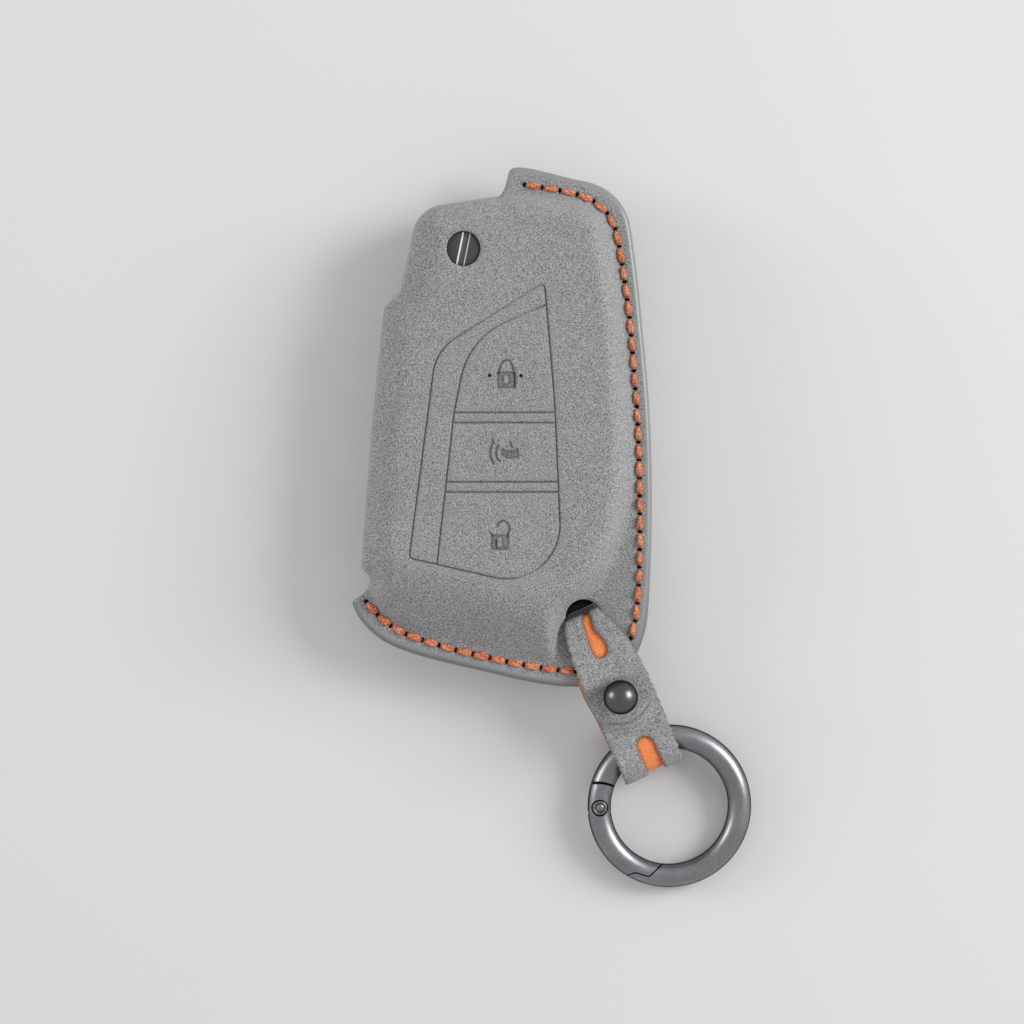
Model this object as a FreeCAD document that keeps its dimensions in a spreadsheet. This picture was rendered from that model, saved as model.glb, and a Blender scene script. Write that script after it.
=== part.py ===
import FreeCAD, Part
import math
import os
import Sketcher
from FreeCAD import Placement, Rotation, Vector

# Suede cover for a flip key, with a strap and a spring ring. Millimetres, +Z up.
# The cover lies on its back: X is its width, Y its length, and the table is at zero.

doc = FreeCAD.newDocument("key_fob_cover")
sheet = doc.addObject("Spreadsheet::Sheet", "Sheet")

# Driving sizes
SIZES = {
    # cover panels
    "leather": 1.2,
    "key_fit": 0.15,
    "key_thickness": 13.7,
    "seam_height": 8.8,
    "wall_draft": 22,
    "crown_break": 1.3,
    "crown_slope": 56,
    "lip_reach": 3.4,
    "toe_run": 8.6,
    "toe_turn": 13.7,
    "notch_radius": 1.9,
    "line_width": 0.5,
    "line_depth": 0.3,
    # seams
    "side_inset": 2.3,
    "bottom_inset": 3.1,
    "stitch_pitch": 3,
    "thread_width": 0.9,
    "thread_height": 0.45,
    "awl_clearance": 0.05,
    # flip key
    "release_dx": 7.8,
    "release_dy": -6.7,
    "release_radius": 2.9,
    "release_travel": 1.2,
    "release_sink": 0.7,
    "release_slot": 1.1,
    "release_turn": 11.7,
    "hole_clearance": 0.1,
    "hub_radius": 4.5,
    "hub_height": 6,
    "stem_radius": 1.8,
    "running_gap": 0.08,
    "fixed_gap": 0.02,
    "housing_gap": 0.2,
    "blade_tilt": 10,
    "blade_shift": 1.9,
    "blade_width": 7,
    "blade_thickness": 2.4,
    "blade_length": 50,
    "blade_space": 0.3,
    "pin_radius": 0.75,
    "pin_reach": 3.2,
    "spring_wire": 0.4,
    "spring_radius": 2.9,
    "spring_pitch": 0.65,
    "blade_shoulder": 0.7,
    "tang_gap": 0.5,
    "shell_wall": 1.2,
    "edge_break": 0.3,
    "button_gap": 0.12,
    "button_rim": 0.2,
    "button_rim_height": 0.55,
    "button_travel": 0.4,
    "button_inset": 0.2,
    "board_thickness": 0.8,
    "board_margin": 0.55,
    "board_gap": 0.15,
    "bridge_x": -7.4,
    "bridge_y": -22,
    "bridge_width": 14.8,
    "bridge_depth": 36,
    "switch_width": 3.5,
    "switch_height": 0.6,
    "plunger_reach": 0.25,
    "post_radius": 1.3,
    "cell_radius": 10,
    "cell_height": 3.2,
    "cell_x": 1,
    "cell_y": -8,
    # strap
    "strap_hole_dx": -0.4,
    "strap_hole_dy": -0.6,
    "strap_hole_radius": 2.8,
    "strap_angle": 24.3,
    "strap_face": 0.6,
    "strap_lining": 0.5,
    "strap_lift": 0.5,
    "layer_gap": 0.05,
    "stack_drop": 0.35,
    "strap_pass": -0.7,
    "waist": 4.7,
    "flare_start": 2.2,
    "flare_neck": 7.4,
    "flare_reach": 9.2,
    "flare_width": 11,
    "stud_setback": 14.6,
    "strap_width": 11.6,
    "fold_width": 10.6,
    "fold_reach": 30.3,
    "loop_radius": 3.05,
    "drop_reach": 8,
    "drop_width": 3,
    "drop_neck": 1.4,
    "window_setback": 6,
    "window_width": 3,
    # ball stud
    "ball_radius": 2.9,
    "stud_neck": 1.3,
    "stud_plate": 2.6,
    "stud_plate_height": 0.8,
    "stud_screw_radius": 0.8,
    # spring ring
    "ring_radius": 12,
    "wire_radius": 2,
    "ring_setback": 5.64,
    "rivet_angle": 155.7,
    "rivet_radius": 0.85,
    "rivet_head": 1.25,
    "rivet_gap": 0.05,
    "gate_end": 4.1,
    "gate_gap": 0.15,
    "tongue_height": 1.5,
    "nose_tip_angle": 211.3,
    "nose_step_angle": 217.5,
    "nose_back_angle": 228.5,
    "nose_inner_angle": 240.5,
    "nose_step": 0.5,
    "leaf_height": 0.25,
}

# Corners of the moulded pocket, where its wall meets the seam: x, y, radius
POCKET = {
    "hub": (-14.7, 36.2, 5.7),
    "brow": (2.2, 39.3, 17),
    "crown": (17.4, 37.4, 5.4),
    "side": (20.4, 13.7, 100),
    "hip": (21.2, -13.5, 15),
    "punch": (13.4, -30.7, 5.2),
    "gully": (9.8, -32.2, 1.5),
    "heel": (9.0, -40.3, 5.2),
    "toe": (-24.3, -32.2, 9.2),
    "shoulder": (-20.05, 19.6, 5.5),
    "neck": (-17.45, 22.6, 2.5),
}

# Corners of the seam flange, each measured from a corner of the pocket
FLANGE = {
    "tab_foot": ("brow", -3.4, -0.8, 0.4),
    "tab_top": ("brow", -2.0, 5.0, 1.4),
    "top": ("crown", 2.95, 1.9, 7.6),
    "flank": ("side", 6.0, -20.3, 170),
    "corner": ("hip", 1.5, -31.1, 13),
    "base": ("heel", -12.3, -2.3, 60),
    "tail": ("toe", 1.5, -4.6, 7),
    "tip": ("toe", -1.6, 2.9, 0.6),
    "notch": ("toe", 0.7, 4.4, 0),
    "inner_low": ("toe", 9.0, 9.0, 0),
    "inner_high": ("brow", -3.4, -14.0, 0),
}

# Corners of the three buttons and of the border that is pressed round them: x, y, radius
FIELD = {
    "apex": (6.6, 23.9, 0.6),
    "right": (8.3, 4.0, 100),
    "low": (9.7, -28.1, 9),
    "foot": (-16.0, -22.2, 0.6),
    "left": (-11.5, 12.5, 8),
}
LOCK = {
    "apex": (6.8, 20.2, 0.6),
    "right": (8.1, 2.1, 0.6),
    "left": (-8.5, 2.1, 0.6),
    "arch": (-6.05, 14.35, 14),
}
HORN = {
    "top_right": (8.3, 0.4, 0.6),
    "low_right": (8.8, -9.5, 0.6),
    "low_left": (-9.85, -9.5, 0.6),
    "top_left": (-8.75, 0.4, 0.6),
}
UNLOCK = {
    "top_right": (8.9, -11.2, 0.6),
    "low_right": (9.5, -27.6, 8.5),
    "low_left": (-11.35, -23.1, 0.6),
    "top_left": (-10.0, -11.2, 0.6),
}


class Size:
    """A size as a number, together with the formula that gives it from the sheet."""

    def __init__(self, value, text):
        self.value = value
        self.text = text

    @staticmethod
    def of(other):
        if isinstance(other, Size):
            return other
        return Size(float(other), "(%r)" % float(other))

    def join(self, other, sign, value):
        return Size(value, "(%s %s %s)" % (self.text, sign, other.text))

    def __add__(self, other):
        other = Size.of(other)
        return self.join(other, "+", self.value + other.value)

    def __sub__(self, other):
        other = Size.of(other)
        return self.join(other, "-", self.value - other.value)

    def __mul__(self, other):
        other = Size.of(other)
        return self.join(other, "*", self.value * other.value)

    def __truediv__(self, other):
        other = Size.of(other)
        return self.join(other, "/", self.value / other.value)

    def __radd__(self, other):
        return Size.of(other) + self

    def __rsub__(self, other):
        return Size.of(other) - self

    def __rmul__(self, other):
        return Size.of(other) * self

    def __neg__(self):
        return Size.of(0) - self

    def sine(self):
        return Size(math.sin(math.radians(self.value)), "sin(%s * 1deg)" % self.text)

    def cosine(self):
        return Size(math.cos(math.radians(self.value)), "cos(%s * 1deg)" % self.text)


def fill_sheet():
    rows = list(SIZES.items())
    for outline_name, table in (("pocket", POCKET), ("field", FIELD), ("lock", LOCK),
                                ("horn", HORN), ("unlock", UNLOCK)):
        for corner, (x, y, radius) in table.items():
            label = outline_name + "_" + corner
            rows += [(label + "_x", x), (label + "_y", y), (label + "_round", radius)]
    for corner, (_, x, y, radius) in FLANGE.items():
        label = "flange_" + corner
        rows += [(label + "_dx", x), (label + "_dy", y), (label + "_round", radius)]
    for row, (alias, value) in enumerate(rows, 1):
        sheet.set("A%d" % row, repr(value))
        sheet.setAlias("A%d" % row, alias)
    doc.recompute()


fill_sheet()


def size(alias):
    return Size(float(sheet.get(alias)), "Sheet." + alias)


def corners_of(outline_name, table):
    found = {}
    for corner in table:
        label = outline_name + "_" + corner
        found[corner] = (size(label + "_x"), size(label + "_y"), size(label + "_round"))
    return found


def bind(item, **values):
    """Tie properties of an object to the sheet; a double underscore stands for a dot."""
    for name, value in values.items():
        item.setExpression(name.replace("__", "."), Size.of(value).text)


def place(item, x=0, y=0, z=0):
    bind(item, Placement__Base__x=x, Placement__Base__y=y, Placement__Base__z=z)
    return item


# Sketches, solids and booleans
def draw(sketch, corners, closed=True):
    """Straight edges with round corners, every corner held by its x, y and radius."""
    count = len(corners)
    points = [Vector(x.value, y.value, 0) for x, y, _ in corners]
    edges = count if closed else count - 1
    ways = [(points[(i + 1) % count] - points[i]).normalize() for i in range(edges)]
    inner = range(count) if closed else range(1, count - 1)
    trims = [0.0] * count
    for i in inner:
        turn = ways[i - 1].getAngle(ways[i])
        trims[i] = corners[i][2].value * math.tan(turn / 2)
    lines = []
    for i in range(edges):
        after = (i + 1) % count
        start = points[i] + ways[i] * trims[i]
        end = points[after] - ways[i] * trims[after]
        lines.append(sketch.addGeometry(Part.LineSegment(start, end), False))
    rules = []
    names = []

    def rule(name, *values):
        rules.append(Sketcher.Constraint(*values))
        names.append(name)

    for i in range(count):
        x, y, radius = corners[i]
        if i not in inner:
            held = (lines[0], 1) if i == 0 else (lines[-1], 2)
        elif trims[i] == 0:
            held = (lines[i], 1)
            rule(None, "Coincident", lines[i - 1], 2, lines[i], 1)
        else:
            start = points[i] - ways[i - 1] * trims[i]
            end = points[i] + ways[i] * trims[i]
            left = ways[i - 1].cross(ways[i]).z > 0
            side = Vector(0, 0, 1 if left else -1).cross(ways[i - 1])
            centre = start + side * radius.value
            first = math.atan2(start.y - centre.y, start.x - centre.x)
            last = math.atan2(end.y - centre.y, end.x - centre.x)
            if not left:
                first, last = last, first
            circle = Part.Circle(centre, Vector(0, 0, 1), radius.value)
            arc = sketch.addGeometry(Part.ArcOfCircle(circle, first, last), False)
            tip = sketch.addGeometry(Part.Point(points[i]), True)
            held = (tip, 1)
            rule(None, "Tangent", lines[i - 1], 2, arc, 1 if left else 2)
            rule(None, "Tangent", arc, 2 if left else 1, lines[i], 1)
            rule(None, "PointOnObject", tip, 1, lines[i - 1])
            rule(None, "PointOnObject", tip, 1, lines[i])
            rule("radius_%d" % i, "Radius", arc, radius.value)
        rule("x_%d" % i, "DistanceX", held[0], held[1], x.value)
        rule("y_%d" % i, "DistanceY", held[0], held[1], y.value)
    sketch.addConstraint(rules)
    for index, name in enumerate(names):
        if name:
            sketch.renameConstraint(index, name)
            axis, number = name.split("_")
            which = {"x": 0, "y": 1, "radius": 2}[axis]
            sketch.setExpression("Constraints." + name, corners[int(number)][which].text)
    return sketch


def outline(name, corners, height=0, closed=True):
    sketch = doc.addObject("Sketcher::SketchObject", name)
    draw(sketch, [tuple(Size.of(value) for value in corner) for corner in corners], closed)
    bind(sketch, Placement__Base__z=height)
    return sketch


def face_of(name, sketch):
    face = doc.addObject("Part::Face", name)
    face.Sources = [sketch]
    return face


def grown(name, base, amount):
    """A face with its edge moved outward by an amount, or inward by a negative one."""
    edge = doc.addObject("Part::Offset2D", name)
    edge.Source = base
    bind(edge, Value=amount)
    return edge


def prism(name, base, low, high):
    solid = doc.addObject("Part::Extrusion", name)
    solid.Base = base
    solid.DirMode = "Custom"
    solid.Dir = Vector(0, 0, 1)
    solid.Solid = True
    bind(solid, LengthFwd=high, LengthRev=-Size.of(low))
    return solid


def cylinder(name, x, y, low, high, radius):
    solid = doc.addObject("Part::Cylinder", name)
    bind(solid, Radius=radius, Height=Size.of(high) - low)
    return place(solid, x, y, low)


def box(name, x, y, low, width, depth, height):
    solid = doc.addObject("Part::Box", name)
    bind(solid, Length=width, Width=depth, Height=height)
    return place(solid, x, y, low)


def fuse(name, *shapes):
    solid = doc.addObject("Part::MultiFuse", name)
    solid.Shapes = list(shapes)
    return solid


def common(name, *shapes):
    solid = doc.addObject("Part::MultiCommon", name)
    solid.Shapes = list(shapes)
    return solid


def cut(name, base, *tools):
    solid = doc.addObject("Part::Cut", name)
    solid.Base = base
    solid.Tool = tools[0] if len(tools) == 1 else fuse(name + "_tools", *tools)
    return solid


def origin_plane(body, role):
    return [item for item in body.Origin.OriginFeatures if item.Role == role][0]


def turned(name, profile, spot=None):
    """A body turned about an upright axis from a half profile of radius and height corners."""
    body = doc.addObject("PartDesign::Body", name)
    sketch = body.newObject("Sketcher::SketchObject", name + "_profile")
    sketch.AttachmentSupport = [(origin_plane(body, "XZ_Plane"), "")]
    sketch.MapMode = "FlatFace"
    draw(sketch, [tuple(Size.of(value) for value in corner) for corner in profile])
    turn = body.newObject("PartDesign::Revolution", name + "_turn")
    turn.Profile = sketch
    turn.ReferenceAxis = (sketch, ["V_Axis"])
    turn.Angle = 360
    body.Tip = turn
    return place(body, *spot) if spot else body


# Heights shared by the cover and the key
leather = size("leather")
seam = size("seam_height")
front_top = size("key_thickness") + 2 * (leather + size("key_fit"))
flange_top = seam + leather
flange_low = seam - leather
key_inset = leather + size("key_fit")
key_top = front_top - key_inset

pocket = corners_of("pocket", POCKET)
pocket_outline = outline("pocket_outline", pocket.values(), seam)
pocket_face = face_of("pocket_face", pocket_outline)
flange_corner = {}
for corner, (anchor, _, _, _) in FLANGE.items():
    label = "flange_" + corner
    anchor_x, anchor_y, _ = pocket[anchor]
    flange_corner[corner] = (anchor_x + size(label + "_dx"), anchor_y + size(label + "_dy"),
                             size(label + "_round"))
flange_outline = outline("flange_outline", flange_corner.values())
flange_face = face_of("flange_face", flange_outline)
button_faces = {}
for name, table in (("lock", LOCK), ("horn", HORN), ("unlock", UNLOCK)):
    sketch = outline(name + "_outline", corners_of(name, table).values())
    button_faces[name] = face_of(name + "_face", sketch)
field_outline = outline("field_outline", corners_of("field", FIELD).values())

pivot_x = pocket["hub"][0] + size("release_dx")
pivot_y = pocket["hub"][1] + size("release_dy")
strap_x = pocket["punch"][0] + size("strap_hole_dx")
strap_y = pocket["punch"][1] + size("strap_hole_dy")


CROWN_SHARE = 0.35


def drafted(name, base, length, angle, up):
    """A block whose walls lean in by an angle as it rises, or as it goes down."""
    block = doc.addObject("Part::Extrusion", name)
    block.Base = base
    block.DirMode = "Custom"
    block.Dir = Vector(0, 0, up)
    block.Solid = True
    bind(block, LengthFwd=length, TaperAngle=-angle)
    return block


def bulge(name, inset, front):
    """The moulded bulge on one side of the seam, drawn in all round by an inset."""
    rise = front_top - seam - inset if front else seam - inset
    crown = size("crown_break") - inset * CROWN_SHARE
    wall = rise - crown
    draft = size("wall_draft")
    level = seam + wall if front else seam - wall
    shoulder_face = face_of(name + "_shoulder",
                            outline(name + "_shoulder_outline", pocket.values(), level))
    wall_edge = grown(name + "_edge", pocket_face, -inset) if inset.value else pocket_face
    crown_edge = grown(name + "_crown_edge", shoulder_face,
                       -inset - wall * draft.sine() / draft.cosine())
    up = 1 if front else -1
    drafted(name + "_wall", wall_edge, wall, draft, up)
    drafted(name + "_crown", crown_edge, crown, size("crown_slope"), up)
    moulded = fuse(name + "_round" if front else name, doc.getObject(name + "_wall"),
                   doc.getObject(name + "_crown"))
    moulded.Refine = False
    if not front:
        return moulded
    slope = doc.addObject("Part::Wedge", name + "_toe")
    foot_x, foot_y, _ = pocket["toe"]
    drop = inset * 1.25
    bind(slope, Xmin=-20, X2min=-20, Xmax=80, X2max=80, Ymin=0, Ymax=size("toe_run"),
         Zmin=flange_top - drop, Z2min=front_top - drop, Zmax=front_top + 5,
         Z2max=front_top + 5)
    place(slope, foot_x, foot_y, 0)
    slope.Placement.Rotation = Rotation(Vector(0, 0, 1), -size("toe_turn").value)
    return cut(name, moulded, slope)


outer = {side: bulge("outer_" + side, Size.of(0), side == "front") for side in ("front", "back")}
inner = {side: bulge("inner_" + side, leather, side == "front") for side in ("front", "back")}

# Seams: one saddle-stitch thread for each, through slits in both flanges
SEAMS = {
    "side_thread": ("side_inset", ("tab_top", 3.2, -3.4), ("corner", -1.3, 9.2)),
    "bottom_thread": ("bottom_inset", ("tip", 2.4, -0.4), ("corner", -11.0, 3.2)),
}


def seam_points(name, inset, start, end):
    """Evenly spaced stitch holes along the flange, between the points nearest to two places."""
    line = grown(name + "_line", flange_face, -inset)
    doc.recompute()
    wire = line.Shape.Faces[0].OuterWire
    points = wire.discretize(Distance=0.1)
    ends = []
    for anchor, dx, dy in (start, end):
        x, y, _ = flange_corner[anchor]
        spot = Vector(x.value + dx, y.value + dy, 0)
        ends.append(min(range(len(points)), key=lambda i: points[i].distanceToPoint(spot)))
    first, last = ends
    ways = []
    for step in (1, -1):
        way = [points[first]]
        index = first
        while index != last:
            index = (index + step) % len(points)
            way.append(points[index])
        ways.append(way)
    way = min(ways, key=len)
    path = Part.makePolygon(way)
    count = round(path.Length / size("stitch_pitch").value)
    return path.discretize(Number=count + 1)


def stitched(name, inset, start, end):
    """The thread of one seam as a solid, and the awl slits that it passes through."""
    points = seam_points(name, inset, start, end)
    width = size("thread_width").value
    height = size("thread_height").value
    leg = width / 3
    slit = leg + size("awl_clearance").value
    up = Vector(0, 0, 1)
    solids = []
    slits = []
    profile = [(-0.5, 0), (-0.3, 1), (0.3, 1), (0.5, 0)]
    for start, end in zip(points, points[1:]):
        along = end - start
        across = up.cross(along).normalize()
        for level, sign in ((flange_top.value, 1), (flange_low.value, -1)):
            rim = [start + across * width * a + up * (level + sign * height * b)
                   for a, b in profile]
            solids.append(Part.Face(Part.makePolygon(rim + rim[:1])).extrude(along))
    for index, point in enumerate(points):
        other = points[index + 1] if index + 1 < len(points) else points[index - 1]
        along = (other - point).normalize()
        across = up.cross(along)
        for half, low, high, group in (
                (leg, flange_low.value, flange_top.value, solids),
                (slit, flange_low.value - 1, flange_top.value + 1, slits)):
            rim = [point + way * half + up * low for way in (along, across, -along, -across)]
            group.append(Part.Face(Part.makePolygon(rim + rim[:1])).extrude(up * (high - low)))
    thread = doc.addObject("Part::Feature", name)
    thread.Shape = solids[0].fuse(solids[1:])
    holes = doc.addObject("Part::Feature", name + "_slits")
    holes.Shape = Part.makeCompound(slits)
    return thread, holes


threads = {}
slits = []
for name, (inset, start, end) in SEAMS.items():
    threads[name], holes = stitched(name, size(inset), start, end)
    slits.append(holes)

# Cover panels
notch_x = pocket["toe"][0] - 0.3
notch_y = pocket["toe"][1] + 6.1


def panel(side):
    front = side == "front"
    lip = size("lip_reach")
    low, high = (seam - 1, seam + lip) if front else (seam - lip, seam + 1)
    plate = prism(side + "_flange", flange_outline, seam if front else flange_low,
                  flange_top if front else seam)
    moulded = fuse(side + "_moulded", outer[side], plate)
    block = box(side + "_lip_block", -60, -60, low, 120, 130, high - low)
    kept = prism(side + "_lip_kept", flange_outline, low - 1, high + 1)
    tools = [inner[side], cut(side + "_lip_gap", block, kept),
             cylinder(side + "_notch", notch_x, notch_y, -1, front_top + 1, size("notch_radius")),
             cylinder(side + "_strap_hole", strap_x, strap_y, -1, front_top + 1,
                      size("strap_hole_radius"))]
    if front:
        tools.append(cylinder("release_hole", pivot_x, pivot_y, seam, front_top + 1,
                              size("release_radius") + size("hole_clearance")))
        tools += [pressed_line(name, face) for name, face in line_faces.items()]
    body = moulded
    for number, tool in enumerate(tools):
        body = cut("%s_stage_%d" % (side, number), body, tool)
    for number, holes in enumerate(slits[:-1]):
        body = cut("%s_slits_%d" % (side, number), body, holes)
    return cut(side + "_panel", body, slits[-1])


def pressed_line(name, face):
    """A shallow groove that follows an outline on the front."""
    half = size("line_width") / 2
    low = front_top - size("line_depth")
    outside = prism(name + "_line_outside", grown(name + "_line_out", face, half), low,
                    front_top + 1)
    inside = prism(name + "_line_inside", grown(name + "_line_in", face, -half), low - 1,
                   front_top + 2)
    return cut(name + "_line", outside, inside)


line_faces = dict(button_faces, field=face_of("field_face", field_outline))
front_panel = panel("front")
back_panel = panel("back")
doc.recompute()

# Flip key: heights of the stack inside it
blade_half = size("blade_thickness") / 2
slot_half = blade_half + size("blade_space")
hub_low = seam - size("hub_height") / 2
hub_top = seam + size("hub_height") / 2
chamber_low = hub_low - size("housing_gap")
chamber_top = hub_top + size("housing_gap")
ceiling = key_top - size("shell_wall")
rim_top = ceiling - size("button_gap")
rim_low = rim_top - size("button_rim_height")
plunger_top = rim_low - size("button_travel") - size("button_gap")
switch_top = plunger_top - size("plunger_reach")
board_top = switch_top - size("switch_height")
board_low = board_top - size("board_thickness")

tilt_sine = size("blade_tilt").sine()
tilt_cosine = size("blade_tilt").cosine()
edge_right = size("blade_width") / 2 - size("blade_shift")
edge_left = -size("blade_width") / 2 - size("blade_shift")


def on_blade(along, across):
    """A place measured from the pivot along the folded blade and across it to the right."""
    along = Size.of(along)
    across = Size.of(across)
    return (pivot_x - along * tilt_sine + across * tilt_cosine,
            pivot_y - along * tilt_cosine - across * tilt_sine)


def on_blade_corners(*places):
    return [on_blade(along, across) + (radius,) for along, across, radius in places]


# Housing
slot_right = edge_right + size("blade_space")
open_right = pivot_x - edge_left + size("blade_space")
slot_corners = on_blade_corners((size("blade_length") + 1, slot_right, 0),
                                (size("blade_length") + 1, -40, 0))
slot_corners += [(-60, 70, 0), (open_right, 70, 0), (open_right, pivot_y, 0)]
slot_corners += on_blade_corners((0, slot_right, 0))
slot_outline = outline("slot_outline", slot_corners)


def housing(side):
    """What both halves of the housing have in common."""
    front = side == "front"
    name = "key_%s" % side
    solid = bulge(name + "_block", key_inset, front)
    tools = [prism(name + "_slot", slot_outline, seam - slot_half, seam + slot_half),
             cylinder(name + "_chamber", pivot_x, pivot_y, chamber_low, chamber_top,
                      size("hub_radius") + size("housing_gap")),
             cylinder(name + "_strap_room", strap_x, strap_y, -1, front_top + 1,
                      size("strap_hole_radius") + size("housing_gap"))]
    return solid, tools


def joined(name, margin, low, high):
    """The three button outlines grown by a margin and joined to one plate or one space."""
    plates = [prism("%s_%s" % (name, button), grown("%s_%s_edge" % (name, button), face, margin),
                    low, high) for button, face in button_faces.items()]
    bridge = box(name + "_bridge", size("bridge_x") - margin, size("bridge_y"), low,
                 size("bridge_width") + 2 * margin, size("bridge_depth"), Size.of(high) - low)
    return fuse(name, bridge, *plates)


solid, tools = housing("front")
tools.append(cylinder("release_bore", pivot_x, pivot_y, seam, front_top,
                      size("release_radius") + size("hole_clearance")))
tools.append(joined("bay", size("board_margin") + size("board_gap"), seam - 1, board_top))
for name, face in button_faces.items():
    well = grown(name + "_well_edge", face, size("button_rim") + size("board_gap"))
    tools.append(prism(name + "_well", well, board_top - 0.1, ceiling))
    window = grown(name + "_window_edge", face, size("button_gap") - size("button_inset"))
    tools.append(prism(name + "_window", window, ceiling - 0.1, front_top))
for number, tool in enumerate(tools[:-1]):
    solid = cut("key_front_stage_%d" % number, solid, tool)
key_front_shell = cut("key_front_shell", solid, tools[-1])

solid, tools = housing("back")
tools.append(cylinder("cell_room", size("cell_x"), size("cell_y"),
                      seam - size("cell_height") - size("housing_gap"), seam + 1,
                      size("cell_radius") + size("housing_gap")))
for number, tool in enumerate(tools):
    solid = cut("key_back_stage_%d" % number, solid, tool)
POST_SPOTS = {"post_high": (1, 9), "post_low": (-2, -21.5)}
posts = [cylinder(name, x, y, seam - 2, board_low, size("post_radius"))
         for name, (x, y) in POST_SPOTS.items()]
key_back_shell = fuse("key_back_shell", solid, *posts)

# Buttons and electronics
caps = {}
for name, face in button_faces.items():
    top = prism(name + "_cap_top", grown(name + "_cap_edge", face, -size("button_inset")),
                rim_low, key_top)
    rim = prism(name + "_cap_rim", grown(name + "_rim_edge", face, size("button_rim")),
                rim_low, rim_top)
    caps[name] = fuse(name + "_button", top, rim)

board = joined("board_plate", size("board_margin"), board_low, board_top)
release_room = cylinder("board_hub_room", pivot_x, pivot_y, seam, front_top,
                        size("hub_radius") + 2 * size("housing_gap"))
circuit_board = cut("circuit_board", board, release_room)
SWITCH_SPOTS = {"lock": (1, 9), "horn": (-0.3, -4.6), "unlock": (-1, -17.5)}
switches = []
for name, (x, y) in SWITCH_SPOTS.items():
    width = size("switch_width")
    case = box(name + "_switch_case", x - width / 2, y - width / 2, board_top, width, width,
               size("switch_height"))
    plunger = cylinder(name + "_plunger", x, y, board_top, plunger_top, width / 4)
    switches.append(fuse(name + "_switch", case, plunger))
tact_switches = doc.addObject("Part::Compound", "tact_switches")
tact_switches.Links = switches

edge_break = size("edge_break")
cell_low = seam - size("cell_height") - size("housing_gap") / 2
coin_cell = turned("coin_cell", [
    (0, 0, 0), (size("cell_radius") - 1.2, 0, 0), (size("cell_radius") - 1.2, edge_break, 0),
    (size("cell_radius") - edge_break, edge_break, 0), (size("cell_radius"), 2 * edge_break, 0),
    (size("cell_radius"), size("cell_height") - edge_break, 0),
    (size("cell_radius") - edge_break, size("cell_height"), 0),
    (0, size("cell_height"), 0)], (size("cell_x"), size("cell_y"), cell_low))

# Flip blade
pin_x, pin_y = on_blade(size("pin_reach"), -0.8)
pin_low = hub_low + 1.65
pin_top = hub_top - 0.2
tang_left = edge_left + 2.2
tang_low = size("stem_radius") + size("tang_gap")
shoulder = size("hub_radius") + size("blade_shoulder")
length = size("blade_length")
blade_outline = outline("blade_outline", on_blade_corners(
    (tang_low, edge_right, 0), (length - 2.5, edge_right, 0.6), (length, edge_right - 2.2, 0.5),
    (length, edge_left + 2.2, 0.5), (length - 2.5, edge_left, 0.6), (shoulder, edge_left, 0.3),
    (shoulder, tang_left, 0), (tang_low, tang_left, 0)))
blade_blank = prism("blade_blank", blade_outline, seam - blade_half, seam + blade_half)
track_outline = outline("track_outline", on_blade_corners(
    (14, -size("blade_shift") + 1, 0.9), (24, -size("blade_shift") + 1.6, 4),
    (34, -size("blade_shift") + 0.4, 4), (length + 2, -size("blade_shift") + 1.3, 0),
    (length + 2, -size("blade_shift") - 0.7, 0), (34, -size("blade_shift") - 1.6, 4),
    (24, -size("blade_shift") - 0.4, 4), (14, -size("blade_shift") - 1, 0.9)))
track_depth = size("blade_thickness") / 4
pin_hole = size("pin_radius") + size("fixed_gap")
key_blade = cut("key_blade", blade_blank,
                prism("track_top", track_outline, seam + blade_half - track_depth,
                      seam + blade_half + 1),
                prism("track_low", track_outline, seam - blade_half - 1,
                      seam - blade_half + track_depth),
                cylinder("blade_pin_hole", pin_x, pin_y, hub_low, hub_top, pin_hole))
spring_low = hub_low + 0.05
spring_room = size("spring_wire") / 2 + 0.35
hub_disc = cylinder("hub_disc", pivot_x, pivot_y, hub_low, hub_top, size("hub_radius"))
spring_ring = cut("spring_ring",
                  cylinder("spring_ring_out", pivot_x, pivot_y, hub_low - 1, pin_low - 0.1,
                           size("spring_radius") + spring_room),
                  cylinder("spring_ring_in", pivot_x, pivot_y, hub_low - 2, pin_low,
                           size("spring_radius") - spring_room))
blade_face = face_of("blade_face", blade_outline)
fixed_gap = size("fixed_gap")
blade_room = prism("blade_room", grown("blade_room_edge", blade_face, fixed_gap),
                   seam - blade_half - fixed_gap, seam + blade_half + fixed_gap)
hub_bore = cylinder("hub_bore", pivot_x, pivot_y, hub_low - 1, hub_top + 1,
                    size("stem_radius") + size("running_gap"))
hub_pin_hole = cylinder("hub_pin_hole", pin_x, pin_y, pin_low - fixed_gap, hub_top + 1, pin_hole)
hub = hub_disc
for number, tool in enumerate((spring_ring, blade_room, hub_bore)):
    hub = cut("hub_stage_%d" % number, hub, tool)
blade_hub = cut("blade_hub", hub, hub_pin_hole)
blade_pin = cylinder("blade_pin", pin_x, pin_y, pin_low, pin_top, size("pin_radius"))

coil = doc.addObject("Part::Helix", "coil")
bind(coil, Radius=size("spring_radius"), Pitch=size("spring_pitch"),
     Height=size("spring_pitch") * 1.6)
section = doc.addObject("Part::RegularPolygon", "coil_section")
section.Polygon = 6
bind(section, Circumradius=size("spring_wire") / 2)
section.Placement = Placement(Vector(size("spring_radius").value, 0, 0),
                              Rotation(Vector(1, 0, 0), 90))
wound = doc.addObject("Part::Sweep", "flip_spring")
wound.Sections = [section]
wound.Spine = (coil, ["Edge1"])
wound.Solid = True
wound.Frenet = True

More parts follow.
